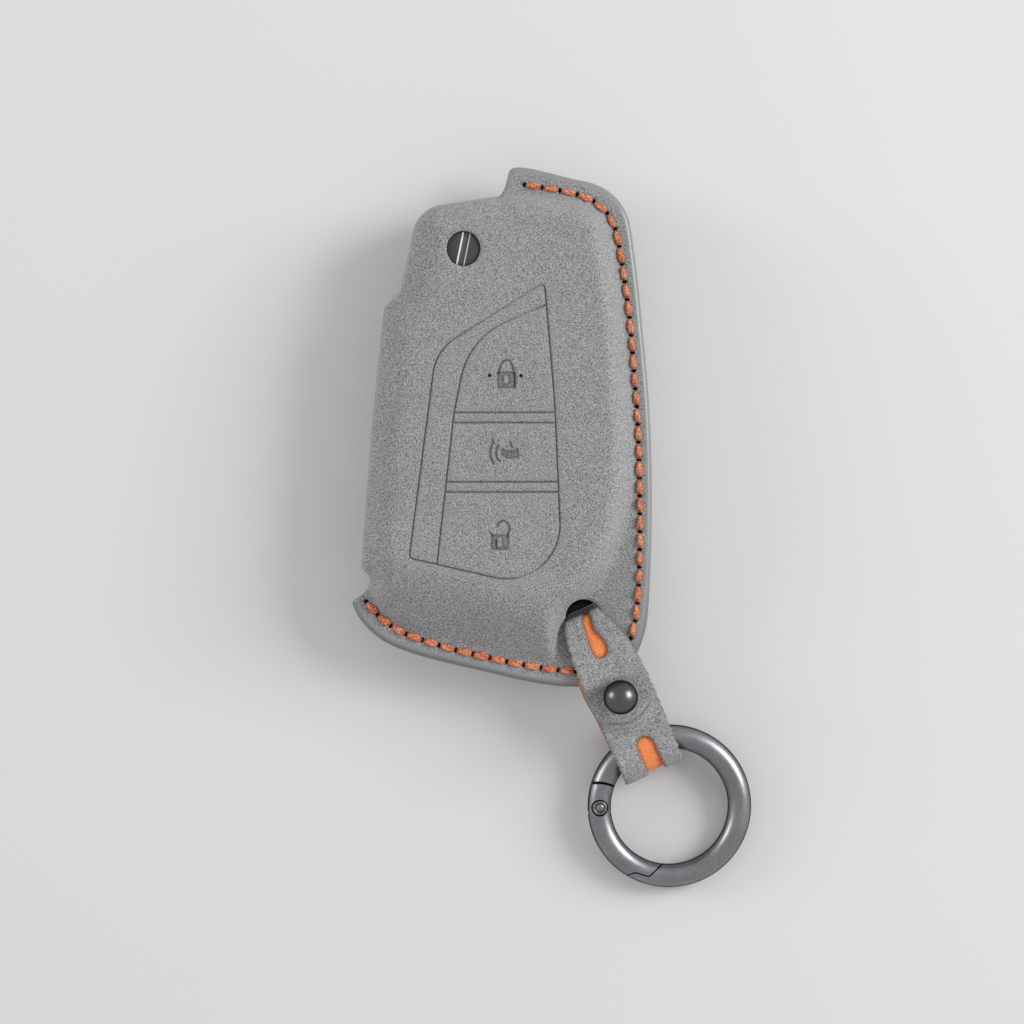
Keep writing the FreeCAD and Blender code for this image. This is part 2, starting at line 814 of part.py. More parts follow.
head_low = chamber_top + size("release_travel")
head_top = front_top - size("release_sink")
stem_low = chamber_low + size("release_travel") + 0.1
release_blank = turned("release_blank", [
    (0, stem_low, 0), (size("stem_radius"), stem_low, 0), (size("stem_radius"), head_low, 0),
    (size("release_radius"), head_low, 0), (size("release_radius"), head_top - edge_break, 0),
    (size("release_radius") - edge_break, head_top, 0), (0, head_top, 0)], (pivot_x, pivot_y))
groove = doc.addObject("Part::Box", "release_groove")
bind(groove, Length=size("release_slot"), Width=20, Height=2)
turn = Rotation(Vector(0, 0, 1), -size("release_turn").value)
corner = turn.multVec(Vector(-size("release_slot").value / 2, -10, 0))
groove.Placement = Placement(Vector(pivot_x.value, pivot_y.value, head_top.value - 0.4) + corner,
                             turn)
release_button = cut("release_button", release_blank, groove)
doc.recompute()
wound.Placement = Placement(Vector(pivot_x.value, pivot_y.value,
                                   spring_low.value + size("spring_wire").value / 2), Rotation())

# Strap: a two-ply strip drawn from the side, with x along the strap and z up
lining = size("strap_lining")
face_ply = size("strap_face")
layer_gap = size("layer_gap")
loop = size("loop_radius") + lining
loop_height = face_ply + loop
run_top = flange_top + size("strap_lift") + lining
run_low = flange_low - size("strap_lift") - lining
middle = seam - size("stack_drop")
stack_top = middle + 2 * lining + layer_gap
stack_low = middle - face_ply - layer_gap - lining
stud_at = size("fold_reach") - size("stud_setback")
end_at = size("fold_reach") - face_ply
strap_turn = Rotation(Vector(0, 0, 1), size("strap_angle").value - 90)
strap_place = Placement(Vector(strap_x.value, strap_y.value, 0), strap_turn)
strap_path = doc.addObject("Sketcher::SketchObject", "strap_path")
path_corners = [
    (stud_at + 1.8, stack_low, 0), (stud_at - 2.9, stack_low, 2), (stud_at - 4.7, run_low, 2),
    (size("strap_pass"), run_low, 1), (size("strap_pass"), run_top, 1),
    (stud_at - 3.4, run_top, 2.5), (stud_at - 1.5, stack_top, 2.5), (stud_at + 3.7, stack_top, 3),
    (stud_at + 6.3, loop_height + loop, 3), (end_at, loop_height + loop, loop - 0.05),
    (end_at, loop_height - loop, loop - 0.05), (stud_at + 6.6, loop_height - loop, 3),
    (stud_at + 2.9, middle, 1.4), (stud_at - 2.1, middle, 0),
]
draw(strap_path, [tuple(Size.of(value) for value in corner) for corner in path_corners], False)
strap_path.Placement = Placement(Vector(0, 0, 0), Rotation(Vector(1, 0, 0), 90))

half_waist = size("waist") / 2
half_neck = size("flare_neck") / 2
half_flare = size("flare_width") / 2
half_strap = size("strap_width") / 2
half_fold = size("fold_width") / 2
half_plan = [
    (size("strap_pass") - 2, half_waist, 0), (0, half_waist, 0.8),
    (size("flare_start"), half_neck, 5), (size("flare_reach"), half_flare, 10),
    (stud_at, half_strap, 8), (size("fold_reach") + 2, half_fold, 0),
]
plan_corners = half_plan + [(x, -y, radius) for x, y, radius in reversed(half_plan)]
strap_plan = outline("strap_plan", plan_corners)
stud_hole = cylinder("stud_hole", stud_at, 0, 0, front_top, size("stud_neck") + 0.05)


def strap_ply(name, thickness):
    """One ply of the strap: a band on one side of the path, cut to the plan of the strap."""
    band = grown(name + "_band", strap_path, thickness)
    band.Mode = "Skin"
    band.Fill = True
    strip = doc.addObject("Part::Extrusion", name + "_strip")
    strip.Base = band
    strip.DirMode = "Custom"
    strip.Dir = Vector(0, 1, 0)
    strip.Symmetric = True
    strip.Solid = True
    bind(strip, LengthFwd=size("strap_width") + 2)
    plan = prism(name + "_plan", strap_plan, -1, front_top)
    return cut(name + "_drilled", common(name + "_shaped", strip, plan), stud_hole)


half_drop = size("drop_width") / 2
half_drop_neck = size("drop_neck") / 2
drop_low = size("strap_pass") - 2
drop_outline = outline("drop_outline", [
    (drop_low, half_drop_neck, 0), (drop_low, -half_drop_neck, 0),
    (size("drop_reach"), -half_drop, half_drop - 0.15),
    (size("drop_reach"), half_drop, half_drop - 0.15)])
half_window = size("window_width") / 2
window_start = size("fold_reach") - size("window_setback") - half_window
window_outline = outline("window_outline", [
    (window_start, half_window, half_window - 0.05), (window_start, -half_window, half_window - 0.05),
    (size("fold_reach") + 2, -half_window, 0), (size("fold_reach") + 2, half_window, 0)])
strap_outer = cut("strap_outer", strap_ply("face", face_ply),
                  prism("drop_window", drop_outline, flange_top, front_top),
                  prism("fold_window", window_outline, loop_height, front_top))
strap_lining = cut("strap_lining", strap_ply("lining", -lining),
                   cylinder("lining_stud_hole", stud_at, 0, 0, front_top,
                            size("stud_neck") + 0.06))

# Ball stud and the screw that holds it from the back
plate_top = stack_low - face_ply - layer_gap
ball_low = stack_top + face_ply + layer_gap
BALL_STEPS = 12
ball_profile = []
for step in range(BALL_STEPS + 1):
    turn = math.pi * step / BALL_STEPS
    ball_profile.append((size("ball_radius") * round(math.sin(turn), 9),
                         ball_low + size("ball_radius") * (1 - math.cos(turn)), 0))
ball = turned("ball", ball_profile, (stud_at, 0))
neck = cylinder("neck", stud_at, 0, plate_top, ball_low + 0.6, size("stud_neck"))
screw_top = stack_top + face_ply
stud_ball = cut("stud_ball", fuse("ball_and_neck", ball, neck),
                cylinder("screw_bore", stud_at, 0, plate_top - 1, screw_top + 0.1,
                         size("stud_screw_radius") + fixed_gap))
plate_low = plate_top - size("stud_plate_height")
screw_blank = turned("screw_blank", [
    (0, plate_low, 0), (size("stud_plate") - edge_break, plate_low, 0),
    (size("stud_plate"), plate_low + edge_break, 0), (size("stud_plate"), plate_top, 0),
    (size("stud_screw_radius"), plate_top, 0), (size("stud_screw_radius"), screw_top, 0),
    (0, screw_top, 0)], (stud_at, 0))
stud_screw = cut("stud_screw", screw_blank,
                 box("screw_slot", stud_at - 0.35, -5, plate_low - 1, 0.7, 10, 1.35))

# Spring ring, drawn flat round its centre with y toward the strap
ring_radius = size("ring_radius")
wire = size("wire_radius")
gap = size("gate_gap")


def polar(radius, angle):
    radius = Size.of(radius)
    return radius * angle.cosine(), radius * angle.sine()


rivet_angle = size("rivet_angle")
rivet_x, rivet_y = polar(ring_radius, rivet_angle)
tip_angle = size("nose_tip_angle")
mean_angle = (rivet_angle + tip_angle) / 2
gate_outline = outline("gate_outline", [place_at + (0,) for place_at in (
    polar(ring_radius + 4, rivet_angle), polar(ring_radius + 8, mean_angle),
    polar(ring_radius + wire + 0.6, tip_angle),
    polar(ring_radius + size("nose_step"), size("nose_step_angle")),
    polar(ring_radius + size("nose_step") / 2, size("nose_back_angle")),
    polar(ring_radius - wire - 0.6, size("nose_inner_angle")),
    polar(ring_radius / 4, mean_angle), polar(ring_radius - 4, rivet_angle))])
gate_face = face_of("gate_face", gate_outline)


WIRE_SIDES = 12
wire_corners = []
for side in range(WIRE_SIDES):
    turn = 2 * math.pi * side / WIRE_SIDES
    wire_corners.append((ring_radius + wire * math.cos(turn), wire * math.sin(turn), 0))
wire_ring = turned("wire_ring", wire_corners)


def toward_shoulder(name, reach, height):
    """A slab from the rivet toward the fixed end of the ring."""
    slab = doc.addObject("Part::Box", name)
    bind(slab, Length=reach, Width=12, Height=height)
    turn = Rotation(Vector(0, 0, 1), rivet_angle.value - 90)
    corner = turn.multVec(Vector(0, -6, -Size.of(height).value / 2))
    slab.Placement = Placement(Vector(rivet_x.value, rivet_y.value, 0) + corner, turn)
    return slab


def at_rivet(name, low, high, radius):
    return cylinder(name, rivet_x, rivet_y, low, high, radius)


tongue = size("tongue_height")
slot = tongue + 0.2
room = fuse("gate_room", prism("gate_room_wide", grown("gate_room_edge", gate_face, gap), -5, 5),
            at_rivet("gate_room_end", -5, 5, size("gate_end") + gap))
tongue_zone = fuse("tongue_zone", toward_shoulder("tongue_slab", size("gate_end") + 1.2, tongue),
                   at_rivet("tongue_eye", -tongue / 2, tongue / 2, wire + 0.1))
ring_tongue = common("ring_tongue", wire_ring, tongue_zone)
ring_solid = fuse("ring_solid", cut("ring_open", wire_ring, room), ring_tongue)
ring_body = cut("ring_body", ring_solid,
                at_rivet("tongue_hole", -5, 5, size("rivet_radius") + fixed_gap))

gate_zone = fuse("gate_zone", prism("gate_zone_wide", gate_outline, -5, 5),
                 at_rivet("gate_zone_end", -5, 5, size("gate_end")))
gate_blank = common("gate_blank", wire_ring, gate_zone)
head_seat = wire - 0.4
leaf_high = tongue - 0.4
leaf_reach = 4.6


def behind_rivet(name, start, reach, width, height):
    """A block inside the gate, on the far side of the rivet from the fixed end."""
    block = doc.addObject("Part::Box", name)
    bind(block, Length=reach, Width=width, Height=height)
    turn = Rotation(Vector(0, 0, 1), rivet_angle.value + 90)
    corner = turn.multVec(Vector(start, -Size.of(width).value / 2, -Size.of(height).value / 2))
    block.Placement = Placement(Vector(rivet_x.value, rivet_y.value, 0) + corner, turn)
    return block


leaf = size("leaf_height")
rivet_gap = size("rivet_gap")
gate_tools = [toward_shoulder("gate_slot", size("gate_end") + 2, slot),
              at_rivet("gate_slot_eye", -slot / 2, slot / 2, wire + 0.3),
              at_rivet("gate_hole", -5, 5, size("rivet_radius") + rivet_gap),
              at_rivet("head_seat_top", head_seat - fixed_gap, 5, size("rivet_head") + rivet_gap),
              at_rivet("head_seat_low", -5, fixed_gap - head_seat, size("rivet_head") + rivet_gap),
              behind_rivet("leaf_room", 1, leaf_reach - 0.9, leaf + 0.06, leaf_high + 0.06)]
gate = gate_blank
for number, tool in enumerate(gate_tools[:-1]):
    gate = cut("gate_stage_%d" % number, gate, tool)
ring_gate = cut("ring_gate", gate, gate_tools[-1])
gate_spring = common("gate_spring", behind_rivet("leaf_blank", 2.25, leaf_reach - 2.25, leaf,
                                                 leaf_high), wire_ring)
rivet_top = wire + 0.03
gate_rivet = turned("gate_rivet", [
    (0, -rivet_top, 0), (size("rivet_head") - edge_break, -rivet_top, 0),
    (size("rivet_head"), edge_break - rivet_top, 0), (size("rivet_head"), -head_seat, 0),
    (size("rivet_radius"), -head_seat, 0), (size("rivet_radius"), head_seat, 0),
    (size("rivet_head"), head_seat, 0), (size("rivet_head"), rivet_top - edge_break, 0),
    (size("rivet_head") - edge_break, rivet_top, 0), (0, rivet_top, 0)])
doc.recompute()

# Place of the ring: its wire lies in the loop of the strap and its far side on the table
lean = math.degrees(math.asin((loop_height.value - wire.value) / (2 * ring_radius.value)))
ring_turn = Rotation(Vector(0, 0, 1), size("strap_angle").value) * Rotation(Vector(1, 0, 0), lean)
along = strap_turn.multVec(Vector(1, 0, 0))
reach = size("fold_reach").value - size("ring_setback").value + ring_radius.value * math.cos(math.radians(lean))
rise = loop_height.value - ring_radius.value * math.sin(math.radians(lean))
ring_place = Placement(Vector(strap_x.value, strap_y.value, rise) + along * reach, ring_turn)
rivet_spot = Placement(Vector(rivet_x.value, rivet_y.value, 0), Rotation())
for node in (strap_outer, strap_lining, stud_ball, stud_screw):
    node.Placement = strap_place
for node in (ring_body, ring_gate, gate_spring):
    node.Placement = ring_place
gate_rivet.Placement = ring_place * rivet_spot
doc.recompute()

# Check of every object, then one file for each piece
pieces = [front_panel, back_panel, threads["side_thread"], threads["bottom_thread"], strap_outer,
          strap_lining, stud_ball, stud_screw, ring_body, ring_gate, gate_rivet, gate_spring,
          release_button, key_front_shell, key_back_shell, caps["lock"], caps["horn"],
          caps["unlock"], circuit_board, tact_switches, coin_cell, blade_hub, key_blade,
          blade_pin, wound]
for item in doc.Objects:
    if "Invalid" in item.State or "Error" in item.State:
        raise RuntimeError("%s does not build" % item.Name)
os.makedirs("parts", exist_ok=True)
for piece in pieces:
    shape = piece.Shape
    if shape.isNull() or not shape.isValid() or not shape.Solids:
        raise RuntimeError("%s is not a valid solid" % piece.Name)
    shape.exportStep("parts/%s.step" % piece.Name)
    print(piece.Name, len(shape.Solids), "solids, %.1f mm3" % shape.Volume)
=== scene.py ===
# %% [markdown]
# A suede cover for a flip key lies on its back: two moulded panels sewn together with orange
# thread, a strap folded round a spring ring, and the key inside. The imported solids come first.
# They are the fixed frame: every piece below is made in the same place, and never moves them.

# %% The frame
import math

import bpy
import numpy as np
from mathutils import Matrix, Vector
from mathutils.geometry import delaunay_2d_cdt


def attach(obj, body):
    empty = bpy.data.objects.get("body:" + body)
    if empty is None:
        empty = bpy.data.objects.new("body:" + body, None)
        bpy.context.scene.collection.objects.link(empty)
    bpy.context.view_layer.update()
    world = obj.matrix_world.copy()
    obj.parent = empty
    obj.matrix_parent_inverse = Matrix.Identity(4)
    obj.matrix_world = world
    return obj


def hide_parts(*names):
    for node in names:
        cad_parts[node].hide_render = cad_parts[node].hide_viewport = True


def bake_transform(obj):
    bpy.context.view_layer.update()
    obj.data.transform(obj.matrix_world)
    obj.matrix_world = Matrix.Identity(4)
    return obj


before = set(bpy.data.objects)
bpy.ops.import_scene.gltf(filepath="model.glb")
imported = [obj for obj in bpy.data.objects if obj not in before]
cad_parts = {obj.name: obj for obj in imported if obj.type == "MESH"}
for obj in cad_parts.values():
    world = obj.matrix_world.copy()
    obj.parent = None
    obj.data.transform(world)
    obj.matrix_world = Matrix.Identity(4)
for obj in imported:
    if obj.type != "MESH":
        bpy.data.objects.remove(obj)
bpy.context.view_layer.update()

MM = 0.001

# %% [markdown]
# The picture looks straight down from 600 mm above the table. Blender's camera looks down its
# own -Z axis when it is unturned, so it needs a place and a lens and no rotation at all. The lens
# follows from the scale: the frame is 175.7 mm wide at the table.

# %% Camera
CAMERA_HEIGHT = 600
FRAME_WIDTH = 175.7
FRAME_MIDDLE = (1.2, -14.5)
SENSOR_WIDTH = 36
scene = bpy.context.scene


def added(name, data):
    """A new object in the scene."""
    made = bpy.data.objects.new(name, data)
    scene.collection.objects.link(made)
    return made


camera = added("camera", bpy.data.cameras.new("camera"))
camera.data.sensor_width = SENSOR_WIDTH
camera.data.lens = SENSOR_WIDTH * CAMERA_HEIGHT / FRAME_WIDTH
camera.data.clip_start = 0.01
camera.location = [part * MM for part in (*FRAME_MIDDLE, CAMERA_HEIGHT)]
scene.camera = camera
scene.view_settings.view_transform = "Standard"
print("lens %.1f mm" % camera.data.lens)

# %% [markdown]
# Shaders are easier to read as sums than as a web of nodes. This small class holds one socket.
# Adding or multiplying two of them adds a Math node, and node() adds any other kind: its
# settings are set first, then its sockets get their values or links.


# %% Sums on sockets
class Wire:
    def __init__(self, tree, socket=None):
        self.tree = tree
        self.socket = socket

    def node(self, kind, settings=(), values=(), output=0):
        made = self.tree.nodes.new(kind)
        for name, value in dict(settings).items():
            setattr(made, name, value)
        for name, value in dict(values).items():
            if isinstance(value, Wire):
                self.tree.links.new(value.socket, made.inputs[name])
            else:
                made.inputs[name].default_value = value
        return Wire(self.tree, made.outputs[output])

    def sum(self, operation, *others):
        """A Math node that takes this socket first and then the others."""
        return self.node("ShaderNodeMath", {"operation": operation}, enumerate((self,) + others))

    def __add__(self, other):
        return self.sum("ADD", other)

    def __sub__(self, other):
        return self.sum("SUBTRACT", other)

    def __rsub__(self, other):
        return self.sum("MULTIPLY_ADD", -1, other)

    def __mul__(self, other):
        return self.sum("MULTIPLY", other)

    def __truediv__(self, other):
        return self.sum("DIVIDE", other)

    __radd__ = __add__
    __rmul__ = __mul__

    def held(self):
        """This number kept between 0 and 1."""
        return self.node("ShaderNodeClamp", {}, {0: self})

    def between(self, low, high):
        """0 below low, 1 above high, and a soft rise from one to the other."""
        return self.node("ShaderNodeMapRange", {"interpolation_type": "SMOOTHSTEP"},
                         {0: self, 1: low, 2: high})

    def mix(self, first, second):
        """The first colour where this is 0 and the second where it is 1."""
        return self.node("ShaderNodeMix", {"data_type": "RGBA"}, {0: self, 6: first, 7: second}, 2)

    def noise(self, scale, detail, rough=0.5, twist=0):
        """A noise at the places that this holds, with so many grains to the metre."""
        return self.node("ShaderNodeTexNoise", {}, {"Vector": self, "Scale": scale, "Detail": detail,
                                                    "Roughness": rough, "Distortion": twist})

    def stored(self, name):
        """A number that is kept on the mesh."""
        return self.node("ShaderNodeAttribute", {"attribute_name": name}, output=2)

    def bump(self, strength, height):
        """A normal that shows this as a relief of that height in millimetres."""
        return self.node("ShaderNodeBump", {}, {"Strength": strength, "Distance": height * MM,
                                                "Height": self})


def linear(*levels):
    """A colour as it is read off a screen, from 0 to 255, in the linear form that shaders use."""
    parts = [level / 255 for level in (levels if len(levels) == 3 else levels * 3)]
    return [part / 12.92 if part < 0.04045 else ((part + 0.055) / 1.055) ** 2.4
            for part in parts] + [1]


def finish(name, **sockets):
    """A material, the places on its object and its shader, with even values set by their names."""
    material = bpy.data.materials.new(name)
    material.use_nodes = True
    shader = material.node_tree.nodes["Principled BSDF"]
    for socket, value in sockets.items():
        shader.inputs[socket.replace("_", " ")].default_value = value
    return material, Wire(material.node_tree).node("ShaderNodeTexCoord", output=3), shader


def feed(shader, **sockets):
    """Links the values that vary over the surface."""
    for socket, value in sockets.items():
        value.tree.links.new(value.socket, shader.inputs[socket.replace("_", " ")])


print("suede grey is", [round(part, 3) for part in linear(150)])

# %% [markdown]
# Plain soft light: a large low lamp on the right and a weaker one on the left make the two glints
# on the ball stud, and an even pale sky fills the rest. Together they put about pi watts on each
# square metre of the table, so that a matt surface shows the colour it is given. The floor is
# pale by its own colour, and not by more light.

# %% Floor and lamps
LIT_SPOT = Vector((0.004, -0.015, 0))
SKY_COLOUR = (0.97, 0.98, 1, 1)
SKY_STRENGTH = 0.54
floor_mesh = bpy.data.meshes.new("floor")
floor_mesh.from_pydata([(-2, -2, 0), (2, -2, 0), (2, 2, 0), (-2, 2, 0)], [], [(0, 1, 2, 3)])
floor = added("floor", floor_mesh)
floor_finish, spot, shader = finish("pale_floor", Roughness=0.9, Specular_IOR_Level=0.1)
cloud = spot.node("ShaderNodeTexNoise", {}, {"Scale": 3, "Detail": 1})
feed(shader, Base_Color=cloud.mix(linear(226), linear(230)))
floor_mesh.materials.append(floor_finish)


def lamp(name, place, width, power):
    light = bpy.data.lights.new(name, "AREA")
    light.size = width
    light.energy = power
    holder = added(name, light)
    holder.location = place
    holder.rotation_euler = (LIT_SPOT - holder.location).to_track_quat("-Z", "Y").to_euler()


lamp("right_lamp", (0.75, 0.24, 0.45), 0.45, 5.8)
lamp("left_lamp", (-0.82, 0.18, 0.31), 0.32, 2.2)
world = bpy.data.worlds.new("pale_sky")
world.use_nodes = True
sky = world.node_tree.nodes["Background"]
sky.inputs["Color"].default_value = SKY_COLOUR
sky.inputs["Strength"].default_value = SKY_STRENGTH
scene.world = world

# %% [markdown]
# Leather is cut from a flat pattern, so its pieces start as outlines on paper. An outline is a
# list of corners, each with a radius, as a pattern maker writes it, or a few points beside a
# smooth line. The helpers turn it into points and measure how far a place is from it.


# %% Outlines
def rounded(corners, closed=True, step=0.5):
    """Points along straight edges with round corners, each given as x, y and radius."""
    spots = np.array([corner[:2] for corner in corners], float)
    count = len(spots)
    line = []
    for i, (_, _, radius) in enumerate(corners):
        spot = spots[i]
        if radius == 0 or (not closed and i in (0, count - 1)):
            line.append(spot)
            continue
        back = spots[i - 1] - spot
        ahead = spots[(i + 1) % count] - spot
        back /= np.hypot(*back)
        ahead /= np.hypot(*ahead)
        half = math.acos(np.clip(back @ ahead, -1, 1)) / 2
        middle = back + ahead
        centre = spot + middle / np.hypot(*middle) * radius / math.sin(half)
        start = spot + back * radius / math.tan(half) - centre
        swing = math.pi - 2 * half
        turn = swing if back[0] * ahead[1] - back[1] * ahead[0] < 0 else -swing
        for part in np.linspace(0, 1, max(3, math.ceil(radius * swing / step) + 1)):
            c, s = math.cos(turn * part), math.sin(turn * part)
            line.append(centre + (c * start[0] - s * start[1], s * start[0] + c * start[1]))
    return evenly(np.array(line), step, closed)


def running(line):
    """Length along a line from its start to each of its points."""
    return np.concatenate([[0], np.cumsum(np.hypot(*np.diff(line, axis=0).T))])


def evenly(line, step, closed=False):
    """The same line with its points a step apart."""
    track = np.vstack([line, line[:1]]) if closed else line
    run = running(track)
    count = max(2, round(run[-1] / step))
    marks = np.linspace(0, run[-1], count + 1)
    points = np.stack([np.interp(marks, run, column) for column in track.T], 1)
    return points[:-1] if closed else points


def softened(points):
    """A smooth line beside a few points, by cutting its corners three times."""
    track = np.array(points, float)
    for _ in range(3):
        cut = np.repeat(track, 2, 0)
        cut[1:-1] = np.stack([0.75 * track[:-1] + 0.25 * track[1:],
                              0.25 * track[:-1] + 0.75 * track[1:]], 1).reshape(-1, 2)
        track = cut
    return track


def arc(centre, radius, first, last, count=16):
    turn = np.radians(np.linspace(first, last, count))
    return np.array(centre) + radius * np.stack([np.cos(turn), np.sin(turn)], 1)


def circle(centre, radius, count=48):
    return arc(centre, radius, 0, 360 - 360 / count, count)


def plate(x0, y0, x1, y1, radius=0.25):
    return rounded([(x0, y0, radius), (x1, y0, radius), (x1, y1, radius), (x0, y1, radius)], step=0.1)


def honeycomb(low, high, step):
    """Points a step apart that fill a rectangle in staggered rows."""
    rows = np.arange(low[1], high[1], step * 0.866)
    xs = np.arange(low[0], high[0], step)
    return np.concatenate([np.stack([xs + step / 2 * (i % 2), np.full(len(xs), y)], 1)
                           for i, y in enumerate(rows)])


# The edge of both panels, clockwise: the sewn part from the tab, and the open part with its corners
SEWN_EDGE = [(-0.9, 38.75), (-0.2, 39.7), (0.3, 41.5), (0.7, 43.3), (1.4, 43.75), (2.7, 43.8),
             (4.8, 43.5), (7.9, 42.75), (11.3, 41.85), (13.9, 41.35), (15.7, 40.8), (17.5, 39.8),
             (18.9, 38.6), (20.1, 37.0), (20.95, 35.1), (21.4, 32.9), (21.7, 30.8), (22.2, 26.9),
             (22.75, 22.3), (23.3, 16.2), (23.9, 10.2), (24.4, 4.3), (24.7, -1.7), (24.85, -7.7),
             (24.9, -13.7), (24.8, -19.7), (24.6, -25.0), (24.3, -30.5), (24.0, -33.5), (23.4, -35.8),
             (22.6, -38.0), (21.5, -39.8), (20.0, -41.4), (18.0, -42.8), (15.4, -43.8), (12.2, -44.1),
             (9.4, -44.0), (6.0, -43.55), (2.5, -42.9), (-2.3, -41.75), (-6.0, -40.9), (-9.7, -40.05),
             (-13.3, -39.15), (-17.0, -38.0), (-19.8, -36.8), (-21.8, -35.5), (-23.5, -33.9),
             (-24.7, -32.4), (-25.5, -30.9), (-25.7, -30.0)]
NOTCH = [(-25.7, -30.0), (-25.75, -29.5), (-25.2, -29.1), (-24.3, -28.55), (-23.3, -27.7),
         (-22.8, -26.6), (-22.75, -25.6), (-23.1, -24.9), (-23.5, -24.6)]
OPEN_EDGE = [(-23.5, -24.6, 0), (-24.2, -24.0, 0.25), (-22.4, 0, 200), (-20.35, 19.9, 1.2),
             (-17.6, 22.5, 2), (-14.7, 36.65, 6), (-0.9, 38.75, 0)]
sewn_edge = evenly(softened(SEWN_EDGE), 0.5)
open_edge = np.vstack([evenly(softened(NOTCH), 0.4)[:-1], rounded(OPEN_EDGE, closed=False)])
panel_edge = np.vstack([sewn_edge[:-1], open_edge[:-1]])
print("panel edge: %d points" % len(panel_edge), panel_edge.min(0).round(1), panel_edge.max(0).round(1))


# %% Distances and soft steps
def gap(points, spot):
    """Distance from each point to one place."""
    return np.hypot(*(points - spot).T)


def reach(points, line, closed=False):
    """Distance from each point to the nearest place on a line."""
    best = np.full(len(points), 1e9)
    ends = np.roll(line, -1, 0) if closed else line[1:]
    for start, end in zip(line, ends):
        way = end - start
        along = np.clip(((points - start) @ way) / max(way @ way, 1e-12), 0, 1)
        best = np.minimum(best, np.hypot(*(points - start - along[:, None] * way).T))
    return best


def nearest(points, lines, closed=False):
    """Distance from each point to the nearest of several lines."""
    return np.min([reach(points, line, closed) for line in lines], 0)


def inside(points, line):
    """Which points a closed line holds, by the crossings to their right."""
    x, y = points.T
    odd = np.zeros(len(points), bool)
    for (x0, y0), (x1, y1) in zip(line, np.roll(line, -1, 0)):
        if y0 != y1:
            odd ^= ((y0 > y) != (y1 > y)) & (x < (x1 - x0) * (y - y0) / (y1 - y0) + x0)
    return odd


def depth(points, line):
    """Distance to a closed line, above 0 inside it and below 0 outside."""
    return np.where(inside(points, line), 1, -1) * reach(points, line, True)


def boxed(points, line, margin):
    """Which points lie in the upright rectangle round a line."""
    return np.all((points > line.min(0) - margin) & (points < line.max(0) + margin), 1)


def turning(line):
    """Twice the area in a closed line, above 0 if it turns to the left."""
    x, y = line.T
    return np.sum(x * np.roll(y, -1) - np.roll(x, -1) * y)


def ease(value, low, high):
    """0 below low, 1 above high, and a soft rise from one to the other."""
    t = np.clip((value - low) / (high - low), 0, 1)
    return t * t * (3 - 2 * t)


def bell(value, width):
    """1 at 0, falling off on both sides."""
    return np.exp(-(value / width) ** 2)


def soft_min(a, b, blend):
    """The lower of two heights, with a round of that size where they cross."""
    part = np.clip(0.5 + 0.5 * (b - a) / blend, 0, 1)
    return b + (a - b) * part - blend * part * (1 - part)


def rolled_off(distance, width, drop):
    """How far a rounded edge lies below its face, by the distance from the edge."""
    return drop * (1 - np.clip(distance / width, 0, 1)) ** 2


print("the origin is %.1f mm from the edge" % depth(np.zeros((1, 2)), panel_edge)[0])

# %% [markdown]
# A sheet of leather is two faces with a thin wall round its edge and its holes. Blender's
# Delaunay tool fills an outline with triangles that pass through any points it is given, so the
# mesh can be fine along a pressed line and coarse where nothing happens. Two functions then lift
# the flat points to the upper and the lower face, and the wall joins them along the outline.


# %% Sheets of leather
def filled(loops, spread):
    """Triangles between an outer loop and its holes, through the loops' points and the others."""
    spread = spread[inside(spread, loops[0])]
    for loop in loops[1:]:
        spread = spread[~inside(spread, loop)]
    for loop in loops:
        spread = spread[reach(spread, loop, True) > 0.02]
    edges = []
    count = 0
    for loop in loops:
        edges += [(count + i, count + (i + 1) % len(loop)) for i in range(len(loop))]
        count += len(loop)
    points = np.vstack(loops + [spread])
    made = delaunay_2d_cdt([Vector(p) for p in points], edges, [], 0, 1e-7)
    flat = np.array([tuple(v) for v in made[0]])
    faces = np.array(made[2])
    middle = flat[faces].mean(1)
    kept = inside(middle, loops[0])
    for loop in loops[1:]:
        kept &= ~inside(middle, loop)
    place = np.full(len(points), -1)
    for index, origins in enumerate(made[3]):
        place[origins] = index
    return flat, faces[kept], place[:count]


def smoothed(made, sharp):
    """Smooth shading, except where faces meet at more than that angle."""
    made.data.shade_smooth()
    made.data.set_sharp_from_angle(angle=math.radians(sharp))


def piece(name, points, faces, material, sharp=40):
    """An object from points in millimetres."""
    mesh = bpy.data.meshes.new(name)
    mesh.from_pydata((np.asarray(points, float) * MM).tolist(), [], [list(map(int, f)) for f in faces])
    mesh.materials.append(material)
    mesh.validate()
    made = added(name, mesh)
    smoothed(made, sharp)
    return made


def leather_sheet(name, loops, fine, coarse, upper, lower, material):
    """A closed sheet: the upper face through the fine points, the lower through the coarse ones."""
    flat_up, faces_up, edge_up = filled(loops, fine)
    flat_low, faces_low, edge_low = filled(loops, coarse)
    shift = len(flat_up)
    points = np.vstack([upper(flat_up), lower(flat_low)])
    walls = []
    count = 0
    for loop in loops:
        outer = loop is loops[0]
        for i in range(len(loop)):
            a, b = count + i, count + (i + 1) % len(loop)
            if (turning(loop) > 0) != outer:
                a, b = b, a
            walls.append((edge_up[a], shift + edge_low[a], shift + edge_low[b], edge_up[b]))
        count += len(loop)
    faces = faces_up.tolist() + (faces_low[:, ::-1] + shift).tolist() + walls
    return piece(name, points, faces, material), flat_up, flat_low


def mark(made, name, values, domain="POINT"):
    """A number at every point or face of a mesh, for its material to read."""
    store = made.data.attributes.new(name, "FLOAT", domain)
    store.data.foreach_set("value", np.asarray(values, np.float32))


def dress(made, body, node):
    """Puts a piece on its body, in place of a solid."""
    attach(made, body)
    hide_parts(node)
    print(made.name, len(made.data.polygons), "faces")


print("sheet tools ready")
